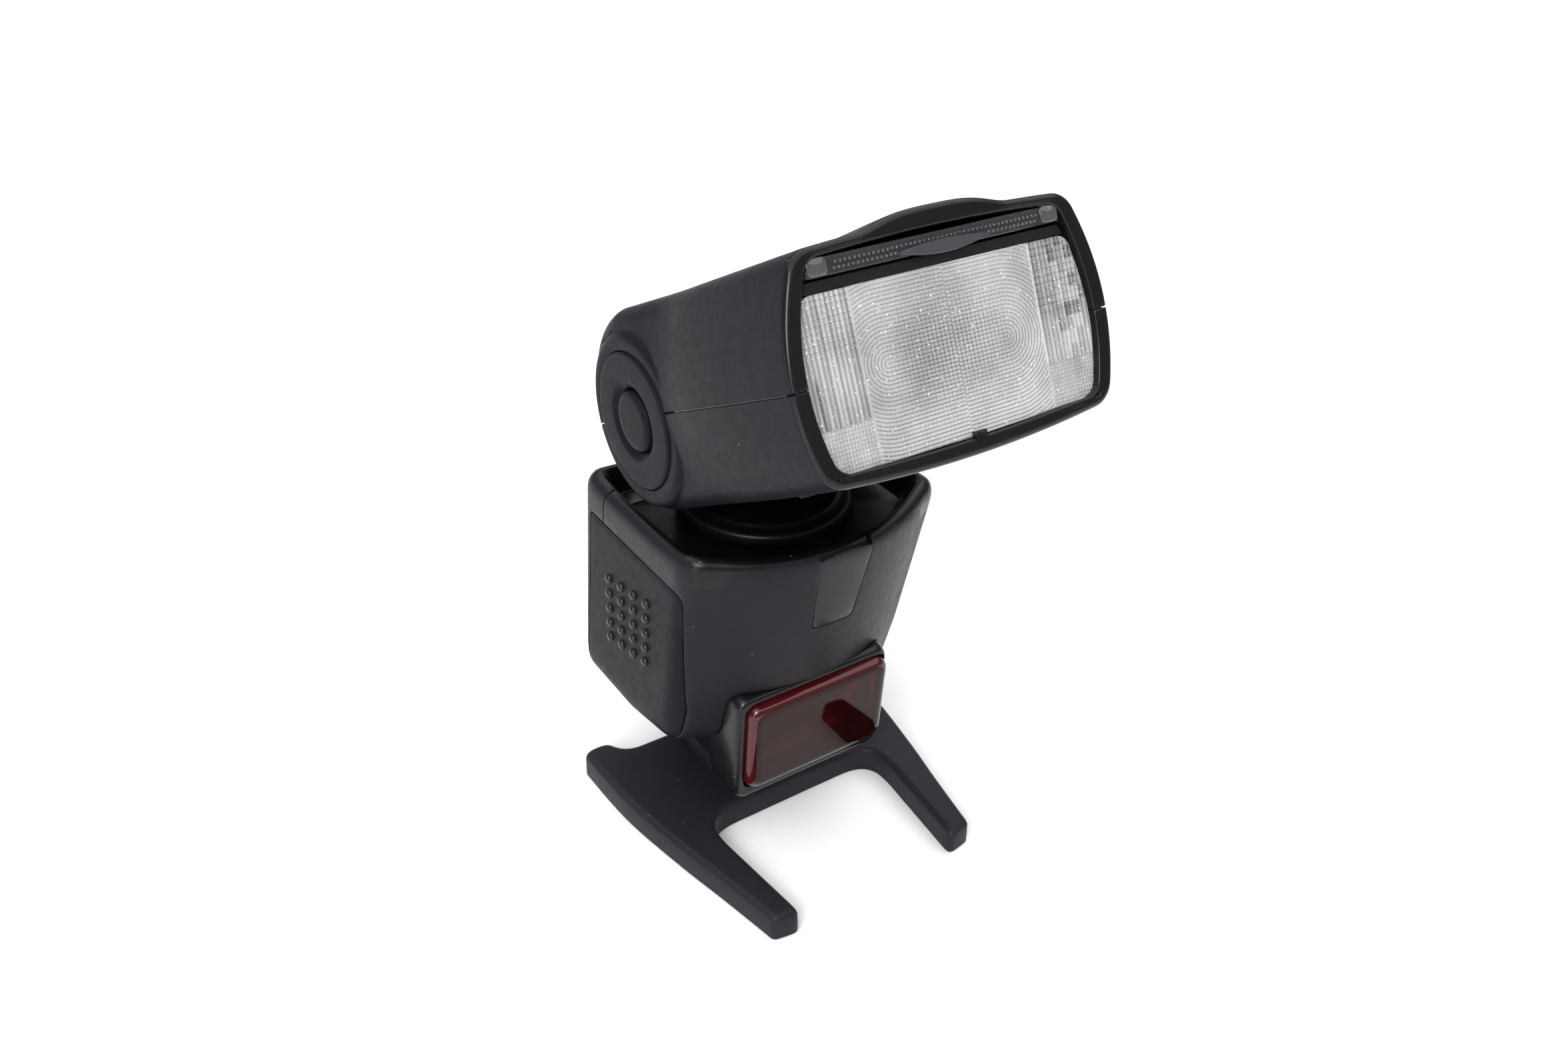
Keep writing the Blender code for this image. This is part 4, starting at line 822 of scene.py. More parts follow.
def insets(p, steps, dt=0.05):
    """The outline moved inwards to each distance in steps, in small moves, with its points evened after each."""
    n = len(p)
    area = 0.5 * np.sum(p[:, 0] * np.roll(p[:, 1], -1) - np.roll(p[:, 0], -1) * p[:, 1])
    side = 1.0 if area > 0 else -1.0
    out, now = [], 0.0
    for d in steps:
        while now < d - 1e-9:
            m = min(dt, d - now)
            t = np.roll(p, -1, 0) - np.roll(p, 1, 0)
            t /= np.linalg.norm(t, axis=1)[:, None]
            p = p + np.stack([-t[:, 1], t[:, 0]], 1) * side * m
            p = (np.roll(p, 1, 0) + 6 * p + np.roll(p, -1, 0)) / 8
            p = even(p, n)
            p = (p + (p[(-np.arange(n)) % n] * [-1, 1])) / 2
            now += m
        out.append(p.copy())
    return out


ST = 7.2
flat = even(np.array(outline), 640)
flat = (flat + flat[(-np.arange(640)) % 640] * [-1, 1]) / 2
prof = ((0.0, 0.0), (0.06, ST - 1.5), (0.16, ST - 1.1), (0.36, ST - 0.72), (0.68, ST - 0.4), (1.08, ST - 0.16), (1.5, ST - 0.03), (1.85, ST))
loops = insets(flat, [d for d, _ in prof])
st_rings = [[(x, y, 0.0) for x, y in insets(flat, [0.4])[0]], [(x, y, 0.4) for x, y in flat], [(x, y, 2.5) for x, y in flat]]
st_rings += [[(x, y, z) for x, y in lp] for (d, z), lp in zip(prof[1:], loops[1:])]
stand = loft("stand_body", st_rings, fan=False)
boss_rows = ((5.0, 15.4, -13.6, 16.2), (7.6, 15.4, -13.6, 16.2), (9.5, 14.9, -13.1, 15.9), (11.2, 14.2, -12.5, 15.4), (12.0, 13.8, -12.2, 15.1), (12.4, 13.45, -11.85, 14.8), (12.6, 12.9, -11.3, 14.3))
boss = loft("boss", [[(p[0], p[1], z) for p in rrect(-w, w, y0, y1, 3, 8)] for z, w, y0, y1 in boss_rows], fan=False)
unite(stand, boss)
cut(stand, box("s", -9.65, 9.65, -9.7, 30, 8.4, 11.65), box("t", -6.6, 6.6, -9.7, 30, 10, 20), turned("d", "z", (0, -6.9), ((4.6, 1.6), (9, 1.6)), 24), turned("b", "z", (0.0, 7.5), ((-1, 5.3), (6.4, 5.3)), 48))
done(stand, "stand", STANDM, "shell_plastic", "stand")

# ------------------------------------------------------------------ COLLAR AND NECK
AX = (0.0, SWIVEL_Y)
collar = turned("collar", "z", AX, ((76.2, 12.1), (76.35, 12.45), (76.7, 12.6), (82.95, 12.6), (82.98, 19.3), (83.2, 19.9), (83.7, 20.2), (85.0, 20.2), (85.6, 20.05), (85.95, 19.7), (86.15, 19.2), (86.25, 18.2), (86.4, 17.5), (86.8, 17.05), (87.1, 16.75), (87.2, 16.4)), 128)
done(collar, "neck_group", GLOSS, "gloss_black", "swivel_collar", angle=45)
PY, PZ = PIVOT[1], PIVOT[2]
RN = 12.0
a0 = math.asin(8.6 / RN)
poly = [(PY - 8.6, 87.5), (PY + 8.6, 87.5)] + [(PY + RN * math.cos(t), PZ + RN * math.sin(t)) for t in [-math.pi / 2 + a0 + (2 * math.pi - 2 * a0) * i / 48 for i in range(49)]]
neck = prism("neck_block", poly, "x", -12.4, 12.4)
cut(neck, turned("b", "x", (PY, PZ), ((-20, 4.3), (20, 4.3)), 48))
soften(neck, 0.35, 60, 3)
done(neck, "neck_group", GLOSS, "gloss_black", "neck")

# ------------------------------------------------------------------ HEAD
NS, NA, NT = 14, 12, 36


def half_profile(H, a, b, rc, cr, ch):
    xs = lambda h: -(a - b * (h / 24.0) ** 2)
    def at(h):
        m = 2 * b * h / 576.0
        s = math.hypot(1, m)
        cx, cy = xs(h) + rc / s, h - rc * m / s
        th = math.atan2(2 * cr, max(1.0, -cx))
        return (H - cr - cy) * math.cos(th) - rc, cx, cy, m, th
    lo, hi = 0.1 * H, H
    for _ in range(40):
        mid = 0.5 * (lo + hi)
        if at(mid)[0] > 0:
            lo = mid
        else:
            hi = mid
    _, cx, cy, m, th = at(lo)
    left = [(xs(0) + ch, 0.0)] + [(xs(h), h) for h in lin(max(ch, 0.01), lo, NS)]
    t0, t1 = math.pi - math.atan(m), math.pi / 2 + th
    for i in range(1, NA + 1):
        t = t0 + (t1 - t0) * i / NA
        left.append((cx + rc * math.cos(t), cy + rc * math.sin(t)))
    xe, he = left[-1]
    k = (H - he) / xe ** 2
    top = [(x, H - k * x * x) for x in lin(xe, -xe, NT)[1:-1]]
    return left + top + [(-x, h) for x, h in left[::-1]]


def brow(x, y):
    f = max(0.0, 1 - (y + 74.9) / 26.0)
    f = f * f * (3 - 2 * f)
    g = max(0.0, 1 - (x / 17.0) ** 2)
    return 1.9 * f * g * g * (3 - 2 * g)


T_A = pchip((-75, -60, -45, -32, -18, 0), (36.1, 35.2, 34.2, 33.1, 31.3, 30.3))
T_B = pchip((-75, -30, 0), (6.3, 5.4, 0.8))
T_RC = pchip((-75, -40, 0), (5.2, 5.6, 5.2))
T_H = {True: pchip((-75, 0), (24.2, 24.2)), False: pchip((-75, -58, -40, -20, 0), (18.7, 19.8, 20.8, 21.5, 21.7))}
T_CR = {True: pchip((-75, -30, 0), (0.8, 0.8, 0.5)), False: pchip((-75, -30, 0), (1.5, 1.3, 0.6))}


def head_half(name, up, gap, zs=0.64):
    sgn = 1 if up else -1

    def row(y, iH, iA, iR, bf, ch, crx=None):
        H = T_H[up](y) - zs * sgn - iH
        pr = half_profile(H, T_A(y) - iA, T_B(y), max(0.8, T_RC(y) - iR), T_CR[up](y) if crx is None else crx, ch)
        f = max(0.0, 1 - (y + 74.9) / 25.0)
        out = []
        for x, h in pr:
            z = zs + sgn * (gap + h * (H - gap) / H)
            if up:
                z += bf * brow(x, y) * (h / H)
            out.append((x, y + FL * z * f, z))
        return out

    def end_row(t, inn, ch):
        tt = rad(t)
        Rv = 24.2 if up else 21.7
        R = Rv + (23.0 - Rv) * math.sin(tt) ** 2
        H = R - zs * sgn * math.cos(tt)
        a, rc = 30.3, 5.2
        if inn:
            H, a, rc = H - 2.2, a - 2.2, rc - 1.6
        pr = half_profile(H, a, 0.8, rc, 0.5 if up else 0.6, ch)
        return [(x, h * math.sin(tt), zs + sgn * (gap + h * math.cos(tt))) for x, h in pr]

    CH = 0.16
    ts = lin(90, 0, 26)[:-1]
    ys = lin(0, -71.0, 37)
    outer = [end_row(t, False, CH) for t in ts] + [row(y, 0, 0, 0, 1, CH) for y in ys] + [row(y, 0, 0, 0, 1, CH) for y in (-72.4, -73.4)]
    r0 = 1.15
    rim = []
    for t in lin(0, 90, 8)[1:]:
        i = r0 * (1 - math.cos(rad(t)))
        rim.append(row(-74.9 + r0 * (1 - math.sin(rad(t))), i, i, 0.6 * i, 1.0, CH))
    lipH, lipA = (1.9, 3.5) if up else (3.1, 3.5)
    crl = None if up else 0.75
    for s in (0.0, 0.33, 0.66, 1.0):
        i1, i2 = lipH - 0.45, lipA - 0.45
        if s == 0.0:
            continue
        rim.append(row(-74.88 + 0.1 * s, r0 + (i1 - r0) * s if i1 > r0 else i1, r0 + (i2 - r0) * s, 0.7 + 0.6 * s, 1.0 - s, CH * (1 - s), crl if s > 0.5 else None))
    for t in lin(0, 90, 5)[1:]:
        rim.append(row(-74.33 - 0.45 * math.cos(rad(t)), lipH - 0.45 + 0.45 * math.sin(rad(t)), lipA - 0.45 + 0.45 * math.sin(rad(t)), 1.4, 0.0, 0.01, crl))
    rim.append(row(-72.0, lipH, lipA, 1.4, 0.0, 0.01, crl))
    rim.append(row(-71.9, lipH + 0.02, lipA + 0.02, 1.4, 0.0, 0.01, crl))
    inner = [row(y, 2.2, 2.2, 1.6, 1.0, 0.01) for y in (-71.2, -70.6)] + [row(y, 2.2, 2.2, 1.6, 1, 0.01) for y in ys[::-1][1:]] + [end_row(t, True, 0.01) for t in ts[::-1]]
    rows = outer + rim + inner
    n = len(rows[0])
    K = len(rows)
    verts = [v for r in rows for v in r]
    f = []
    for k in range(K):
        k2 = (k + 1) % K
        for j in range(n - 1):
            f.append((k * n + j, k * n + j + 1, k2 * n + j + 1, k2 * n + j))
    Ko, Kr = len(outer), len(rim)
    # the two seam faces: pair outer with inner rows, then one face for the rim
    for j, flip in ((0, False), (n - 1, True)):
        m = min(Ko, len(inner))
        for k in range(m - 1):
            a, b = k * n + j, (k + 1) * n + j
            c, d = (K - 2 - k) * n + j, (K - 1 - k) * n + j
            f.append((a, b, c, d) if not flip else (d, c, b, a))
        ids = [k * n + j for k in range(m - 1, K - m + 1)]
        f.append(tuple(ids) if flip else tuple(ids[::-1]))
    ob = new_mesh(name, verts, f)
    tidy(ob)
    return ob


FLG = [(28.4, 19.6), (29.0, 19.58), (29.5, 19.45), (29.95, 19.2), (30.35, 18.88), (30.65, 18.5), (30.88, 18.05), (30.98, 17.6), (31.0, 17.1), (31.0, 14.0)]
heads = {}
for up in (True, False):
    ob = head_half("head_upper_case" if up else "head_lower_case", up, 0.12)
    z0, z1 = (0.64 + 0.12, 40) if up else (-40, 0.64 - 0.12)
    for s in (-1, 1):
        fl = turned("fl", "x", (0, 0), [(s * t, r) for t, r in FLG], 128)
        keep(fl, box("k", -40, 40, -40, 40, z0, z1))
        boolean(ob, fl, "UNION")
        bake(ob)
        drop(fl)
    for s in (-1, 1):
        cut(ob, turned("c", "x", (0, 0), ((20 if s > 0 else -40, 15.36), (40 if s > 0 else -20, 15.36)), 128))
    cut(ob, box("s", -13.2, 13.2, -10.4, 60, -60, 10.4))
    if not up:
        for x_ in (-24.5, 24.5):
            cut(ob, turned("w", "z", (x_, -52.0), ((-30, 1.9), (-10, 1.9)), 32))
    soften(ob, 0.18, 52)
    heads[up] = ob
# tongues inside the seam of the two shells
for s in (-1, 1):
    ys = lin(-72.0, -20.0, 27)
    plan = [(s * (T_A(y) - 0.5), y) for y in ys] + [(s * (T_A(y) - 1.7), y) for y in ys[::-1]]
    lip = prism("seam_tongue_%s" % ("left" if s < 0 else "right"), plan, "z", 0.1, 1.2)
    done(seat(lip), "head", RIM, "gloss_black")
    ends = sorted((s * (T_A(-74) - 3.2), s * (T_A(-74) - 1.3)))
    lip = box("seam_tongue_front_%s" % ("left" if s < 0 else "right"), ends[0], ends[1], -74.45, -71.0, 0.1, 1.2)
    done(seat(lip), "head", RIM, "gloss_black")
# a small dark catch that laps over the lens at the bottom
catch = loft("lens_catch", [[(p[0], y, p[1]) for p in rrect(-0.6 + q, 2.0 - q, -16.0, -14.5 - q, 0.15, 3)] for y, q in ((-74.15, 0.1), (-74.05, 0.0), (-73.0, 0.0))], fan=False)
for up, ob in heads.items():
    seat(ob)
    done(ob, "head", SHELL, "shell_plastic", "head_upper_shell" if up else "head_lower_shell")
CT, STt = math.cos(rad(TILT)), math.sin(rad(TILT))


def to_head(c):
    y, z = c[1] - PIVOT[1], c[2] - PIVOT[2]
    return c[0], y * CT - z * STt, y * STt + z * CT


def rim_pick(c, n):
    x, y, z = to_head(c)
    ny = n.y * CT - n.z * STt
    yf = y - FL * z * max(0.0, 1 - (y + 74.9) / 25.0)
    if yf < -73.95 and ny < -0.25:
        return 1
    if yf < -70.5 and ny > -0.25 and (abs(x) < 33.4 - 6.3 * (z / 24) ** 2 and -16.9 < z < 22.9):
        return 1
    return 0


for ob in heads.values():
    paint(ob, (SHELL, RIM), rim_pick)
done(seat(catch), "head", RIM, "gloss_black")

cov_l = loop_turned("pivot_disc_left", "x", (0, 0), [(-31.55, 14.3), (-31.53, 14.6), (-31.45, 14.88), (-31.3, 15.08), (-31.1, 15.18), (-30.8, 15.2), (-28.7, 15.2), (-28.7, 7.15), (-30.2, 7.15), (-30.35, 7.3), (-31.2, 8.45), (-31.38, 8.75), (-31.48, 9.1), (-31.5, 9.5)], 128)
done(seat(cov_l), "head", SHELL, "shell_plastic", "pivot_cover_left", angle=45)
cov_r = turned("pivot_disc_right", "x", (0, 0), [(28.7, 15.2), (30.8, 15.2), (31.1, 15.18), (31.3, 15.08), (31.45, 14.88), (31.53, 14.6), (31.55, 14.3), (31.5, 9.4), (31.4, 9.1), (31.25, 8.9), (31.15, 8.6), (31.12, 8.2)], 128)
done(seat(cov_r), "head", SHELL, "shell_plastic", "pivot_cover_right", angle=45)
btn = turned("release_button", "x", (0, 0), [(-31.72, 4.6), (-31.7, 5.2), (-31.62, 5.75), (-31.48, 6.2), (-31.25, 6.55), (-30.95, 6.75), (-30.6, 6.8), (-28.42, 6.8), (-28.38, 8.35), (-27.9, 8.4)], 96)
done(seat(btn), "lock_button", SHELL, "shell_plastic", "lock_button", angle=50)


# ------------------------------------------------------------------ FRESNEL LENS
def lens_edge(half, z0, z1, rc, b=6.3, sag=0.6):
    pts = []
    zz = lin(z0 + rc, z1 - rc, 24)
    right = [(half - b * (z / 24.0) ** 2, z) for z in zz]
    xr, xb = right[-1][0], right[0][0]
    tr = [(xr - rc + rc * math.cos(rad(a)), z1 - rc + rc * math.sin(rad(a))) for a in lin(0, 90, 10)[1:]]
    br = [(xb - rc + rc * math.cos(rad(a)), z0 + rc + rc * math.sin(rad(a))) for a in lin(-90, 0, 10)[:-1]]
    bl = [(x, z0 - sag * (1 - (x / (xb - rc)) ** 2)) for x in lin(0.0, xb - rc, 14)[1:-1]]
    rgt = bl + br + right + tr
    return rgt


def saw(d, pitch, keen=0.5):
    u = (d / pitch) % 1.0
    return np.where(u < keen, u / keen, (1 - u) / (1 - keen))


def smooth_step(e0, e1, x):
    t = np.clip((x - e0) / (e1 - e0), 0.0, 1.0)
    return t * t * (3 - 2 * t)


def lines(d, pitch, wide):
    """1 on thin lines every pitch, 0 between."""
    u = np.abs(((d / pitch) % 1.0) - 0.5) * 2
    return np.clip((u - (1 - wide)) / wide, 0, 1)


def lens_fields(x, z):
    """Height in mm of the moulded pattern (rings about two centres joined by straight runs, crossed by upright ribs;
    broad flutes at each side), and the painted light laid on it: a painted reflection of the bright reflector behind
    the lens, painted shade in the ring and rib grooves, broad painted blotches of light and shade, a band of painted
    shade at the left edge, random painted glints, and a painted highlight line where the centre zone meets the flutes.
    """
    s = np.abs(x)
    cx = np.where(x > 0, 12.0, 15.0)
    dx = np.maximum(s - cx, 0.0)
    dz = z - np.where(x > 0, 0.2, 1.2)
    d = np.sqrt(dx ** 2 + dz ** 2)
    core = np.exp(-((x - 1.0) / 11.0) ** 2 - ((z - 1.5) / 8.0) ** 2)
    P = 0.72
    rings = saw(d, P, 0.8) * (0.06 + 0.08 * np.clip(d / 15.0, 0, 1))
    ribs = lines(x, 0.92, 0.5) * (0.03 + 0.08 * core)
    arc = np.clip(1.35 - np.abs(d - 7) / 13, 0.45, 1.0)
    # painted light of the centre zone: the dark lines are painted shade in the ring and rib grooves; the gaussians
    # below are broad painted blotches of light and shade
    centre_painted_light = 0.86 - 0.50 * lines(d, P, 0.55) * arc - 0.42 * lines(x, 0.92, 0.42) * (0.15 + 0.85 * core)
    centre_painted_light = centre_painted_light - 0.15 * np.exp(-((x + 8.0) / 6.5) ** 2 - ((z - 1.0) / 9.0) ** 2) - 0.08 * core + 0.10 * np.exp(-((x - 13.0) / 3.5) ** 2 - ((z - 5.0) / 8.0) ** 2) + 0.06 * np.clip(-z / 14, 0, 1)
    centre_painted_light = centre_painted_light - 0.12 * np.exp(-((x - 12.5) / 2.4) ** 2 - (z / 3.2) ** 2)
    W = 1.02
    ph = 2 * np.pi * s / W
    flutes = (0.5 + 0.5 * np.cos(ph)) * 0.22
    cross = lines(z + 20.0, 1.05, 0.5) * 0.08 * smooth_step(4.5, 5.5, z)
    low_h = (0.5 + 0.5 * np.cos(2 * np.pi * z / 0.72)) * 0.06 + (0.5 + 0.5 * np.cos(2 * np.pi * s / 0.7)) * 0.06
    side_h = np.where(z < -7.0, low_h, flutes + cross)
    # painted light of the side flutes: the bright and dark stripes are painted reflection across the flutes
    stripe = 0.74 + 0.20 * np.cos(ph) + 0.08 * np.cos(ph / 2.0 + 0.7) - 0.08 * np.cos(ph / 3.0)
    left = stripe - 0.26 * lines(z, 1.05, 0.35) * smooth_step(4.5, 5.5, z) + 0.14 * np.exp(-((x + 25.0) / 3.0) ** 2 - ((z - 1.0) / 4.0) ** 2)
    # a darker band of painted shade along the left edge
    left = 0.84 * left - 0.30 * np.exp(-((s - 30.2 + 0.0105 * z * z) / 0.5) ** 2) * smooth_step(3.0, 0.0, z)
    # random per-cell offsets: painted glints on the right-hand flutes and in the lower corners
    cu, cv = np.floor(s / 2.04), np.floor((z + 20) / 2.6)
    cell = np.sin(cu * 12.9898 + cv * 78.233) * 43758.5453
    cell = cell - np.floor(cell)
    right = 0.74 * stripe + 0.10 - 0.22 * lines(z, 1.3, 0.3) * smooth_step(2.0, 3.0, z) + (cell - 0.5) * 0.5 * smooth_step(23.5, 25.5, s)
    right = right - 0.10 * smooth_step(0.0, 2.0, z) + 0.14 * smooth_step(-2.0, -5.0, z)
    corner = 0.90 - 0.26 * lines(z, 0.72, 0.4) - 0.24 * lines(s, 0.7, 0.4) + (cell - 0.5) * 0.16
    side_painted_light = np.where(z < -7.0, corner, np.where(x < 0, left, right))
    m = s > 20.2
    h = np.where(m, side_h, rings + ribs)
    t = np.where(m, side_painted_light, centre_painted_light)
    # a painted highlight line where the centre zone meets the flutes
    t = np.where(np.abs(s - 20.2) < 0.16, 0.97, t)
    return h, np.clip(t, 0.08, 1.0)


def lens_mesh(name, nx, nz):
    rgt = np.array(lens_edge(32.45, -15.0, 15.66, 3.2, 6.3, 0.5))
    zmin, zmax = rgt[:, 1].min(), rgt[:, 1].max()
    # half width as a function of z, by walking the right-hand edge
    zz = np.linspace(zmin, zmax, nz)
    order = np.argsort(rgt[:, 1], kind="stable")
    ez, ex = rgt[order, 1], rgt[order, 0]
    uz, idx = np.unique(np.round(ez, 5), return_index=True)
    hw = np.interp(zz, uz, np.maximum.reduceat(ex, idx))
    hw[0] = max(hw[0], 0.5)
    u = np.linspace(-1, 1, nx)
    X = hw[:, None] * u[None, :]
    Z = np.repeat(zz[:, None], nx, 1)
    hgt, painted_light = lens_fields(X, Z)
    edge = smooth_step(1.0, 0.985, np.abs(np.repeat(u[None, :], nz, 0)))
    hgt = hgt * edge
    Yf = -73.5 + 0.30 - hgt + FL * Z
    Yb = -71.8 + FL * Z
    F = np.stack([X, Yf, Z], 2).reshape(-1, 3)
    # back grid, coarse in effect but matched at the rim
    B = np.stack([X, Yb, Z], 2)
    rim_idx = [(0, i) for i in range(nx)] + [(j, nx - 1) for j in range(1, nz)] + [(nz - 1, i) for i in range(nx - 2, -1, -1)] + [(j, 0) for j in range(nz - 2, 0, -1)]
    back = np.array([B[j, i] for j, i in rim_idx])
    base = len(F)
    verts = np.concatenate([F, back]) * MM
    faces = []
    q = np.arange((nz - 1) * (nx - 1))
    r, c = q // (nx - 1), q % (nx - 1)
    a = r * nx + c
    quads = np.stack([a, a + 1, a + nx + 1, a + nx], 1)
    m = len(rim_idx)
    fr = np.array([j * nx + i for j, i in rim_idx])
    k = np.arange(m)
    side = np.stack([fr[k], base + k, base + (k + 1) % m, fr[(k + 1) % m]], 1)
    all_q = np.concatenate([quads, side])
    me = bpy.data.meshes.new(name)
    nq = len(all_q)
    me.vertices.add(len(verts))
    me.vertices.foreach_set("co", verts.astype(np.float32).ravel())
    loops = np.concatenate([all_q.ravel(), base + k])
    me.loops.add(len(loops))
    me.loops.foreach_set("vertex_index", loops.astype(np.int32))
    me.polygons.add(nq + 1)
    starts = np.concatenate([np.arange(nq) * 4, [nq * 4]])
    me.polygons.foreach_set("loop_start", starts.astype(np.int32))
    me.update(calc_edges=True)
    me.validate()
    ob = bpy.data.objects.new(name, me)
    SC.collection.objects.link(ob)
    bm = bmesh.new()
    bm.from_mesh(me)
    bmesh.ops.recalc_face_normals(bm, faces=bm.faces)
    bm.to_mesh(me)
    bm.free()
    # the painted light is stored on the points for the lens material
    at = me.attributes.new("painted_light", "FLOAT", "POINT")
    at.data.foreach_set("value", np.concatenate([painted_light.ravel(), np.full(m, 0.8)]).astype(np.float32))
    return ob


def lens_material():
    m, nt, b = node_mat("fresnel_plastic")
    co = coords(nt)
    at = nt.nodes.new("ShaderNodeAttribute")
    at.attribute_name = "painted_light"
    n = noise(nt, co, 160.0, 3.0, 0.6)
    # broad noise: painted blotches of light and shade
    painted_light_blot = noise(nt, co, 95.0, 3.0, 0.55)
    painted_light = nt.nodes.new("ShaderNodeMath")
    painted_light.operation = "MULTIPLY"
    nt.links.new(at.outputs["Fac"], painted_light.inputs[0])
    nt.links.new(ramp(nt, painted_light_blot, 0.78, 1.18, 0.3, 0.7), painted_light.inputs[1])
    # base colour follows the painted light, from near black to pale grey: a painted reflection of the bright reflector
    # behind the lens
    col = mixc(nt, painted_light.outputs[0], (0.012, 0.012, 0.013), (0.60, 0.58, 0.59))
    # painted glints: sparse bright specks
    painted_glint = ramp(nt, noise(nt, co, 2300.0, 1.0, 0.5), 0.0, 1.0, 0.69, 0.73)
    nt.links.new(mixc(nt, painted_glint, col, (0.98, 0.97, 0.98)), b.inputs["Base Color"])
    nt.links.new(ramp(nt, n, 0.08, 0.2), b.inputs["Roughness"])
    b.inputs["Transmission Weight"].default_value = 0.22
    b.inputs["IOR"].default_value = 1.49
    bump(nt, b, n, 0.03, 0.00003)
    return m


LENSM = lens_material()
lens = lens_mesh("fresnel_front", 620, 290)
put(lens, LENSM)
seat(lens)
lens.data.polygons.foreach_set("use_smooth", [False] * len(lens.data.polygons))
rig.ride(lens, "head")
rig.slot(lens, "clear_plastic")
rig.replaces(lens, "fresnel_lens")

# black bar between the lens and the wide panel
bar = loft("slot_bar", [[(x * 1.0, y + FL * z, z) for x, z in [(-29.4 + q, 15.75 + q), (29.4 - q, 15.75 + q), (28.4 - q, 17.7 - q), (-28.4 + q, 17.7 - q)]] for y, q in ((-73.3, 0.1), (-73.2, 0.0), (-69.5, 0.0))], fan=False)
done(seat(bar), "head", BARM, "gloss_black", "lens_bar")

# wide panel: sheet, front strip with a finger tab, end pads
def yz_plate(name, outline_at, steps):
    return loft(name, [[(x, y + FL * z, z) for x, z in outline_at(q)] for y, q in steps], fan=False)


def strip_outline(q):
    return round_poly([(-28.2 + q, 18.15 + q), (28.2 - q, 18.15 + q), (28.2 - q, 19.3), (26.6 - q, 21.3 - q), (-26.6 + q, 21.3 - q), (-28.2 + q, 19.3)], [0.3, 0.3, 0.8, 1.2, 1.2, 0.8], 4)


strip = yz_plate("wide_panel_sheet", strip_outline, ((-74.15, 0.12), (-74.03, 0.0), (-72.6, 0.0)))
sheet = box("sh", -23.4, 23.4, -74.0, -36.4, 19.4, 20.4)
unite(strip, sheet)
tab_rows = []
for dy, q in ((-0.42, 0.12), (-0.30, 0.0), (0.85, 0.0)):
    xs = lin(-9.0, 11.0, 25)
    low = [(x, 18.5 - 1.15 * (1 - ((x - 1.0) / 10.0) ** 2) ** 1.4 + q) for x in xs]
    top = [(x, 19.0 + 0.75 * (1 - ((x - 1.0) / 10.0) ** 2) - q) for x in xs[::-1]]
    tab_rows.append([(x, -74.6 + FL * 19 + dy, z) for x, z in low + top])
tab = loft("tab", tab_rows, fan=False)
soften(strip, 0.08, 60)
# the strip's grey tint is painted shade of the dark slot behind it
done(seat(strip), "wide_panel_unit", PANEL_SHADE, "clear_plastic", "wide_panel")
done(seat(tab), "wide_panel_unit", TABM, "clear_plastic")
bead_v, bead_f = [], []
for k in range(46):
    for rr in range(2):
        bx = -22.5 + k * 1.0 + 0.5 * rr
        bz = 19.1 + 1.0 * rr
        if -9.5 < bx < 11.5 and bz < 19.8:
            continue
        base = len(bead_v)
        n = 8
        for t, q in ((0.02, 0.30), (-0.10, 0.24), (-0.16, 0.10)):
            bead_v += [(bx + q * math.cos(2 * math.pi * i / n), -74.15 + FL * bz + t, bz + q * math.sin(2 * math.pi * i / n)) for i in range(n)]
        for m_ in range(2):
            bead_f += [(base + m_ * n + i, base + m_ * n + (i + 1) % n, base + (m_ + 1) * n + (i + 1) % n, base + (m_ + 1) * n + i) for i in range(n)]
        bead_f += [tuple(base + i for i in range(n))[::-1], tuple(base + 2 * n + i for i in range(n))]
beads = tidy(new_mesh("wide_panel_beads", bead_v, bead_f))
done(seat(beads), "wide_panel_unit", PADM, "clear_plastic", angle=60)
for s in (-1, 1):
    pad = loft("wide_panel_pad_%s" % ("left" if s < 0 else "right"), [[(x, y + FL * z, z) for x, z in rrect(min(s * 28.0, s * 23.9) + q, max(s * 28.0, s * 23.9) - q, 18.3 + q, 21.35 - q, 0.9, 6)] for y, q in ((-74.5, 0.25), (-74.42, 0.12), (-74.3, 0.0), (-74.2, 0.0))], fan=False)
    done(seat(pad), "wide_panel_unit", PADM, "clear_plastic")

# ------------------------------------------------------------------ REFLECTOR
def ysec(y, w, h, r, n=10):
    return [(p[0], y, p[1]) for p in rrect(-w, w, -h, h, r, n)]


W1, H1, R1 = pchip((-64, -55, -49, -44, -41.6), (25.6, 24.0, 21.0, 17.5, 16.0)), pchip((-64, -55, -49, -44, -41.6), (13.6, 12.2, 9.0, 5.0, 3.4)), pchip((-64, -55, -49, -44, -41.6), (2.0, 3.0, 4.0, 3.0, 2.0))
rows = [ysec(y, W1(y), H1(y), R1(y)) for y in lin(-64, -41.6, 24)]
W2, H2, R2 = pchip((-64, -55, -49, -44.6, -42.6), (24.6, 23.0, 20.0, 16.6, 15.4)), pchip((-64, -55, -49, -44.6, -42.6), (12.6, 11.2, 8.0, 4.2, 2.4)), pchip((-64, -55, -49, -44.6, -42.6), (1.8, 2.8, 3.6, 2.6, 1.6))
irows = [ysec(y, W2(y), H2(y), R2(y)) for y in lin(-63.9, -42.6, 24)]
refl = loft("reflector_bowl", rows, fan=False)
cut(refl, loft("i", [ysec(-70, 24.6, 12.6, 1.8)] + irows, fan=False))
done(seat(refl), "zoom_unit", BRIGHT, "bright_reflector", "reflector")

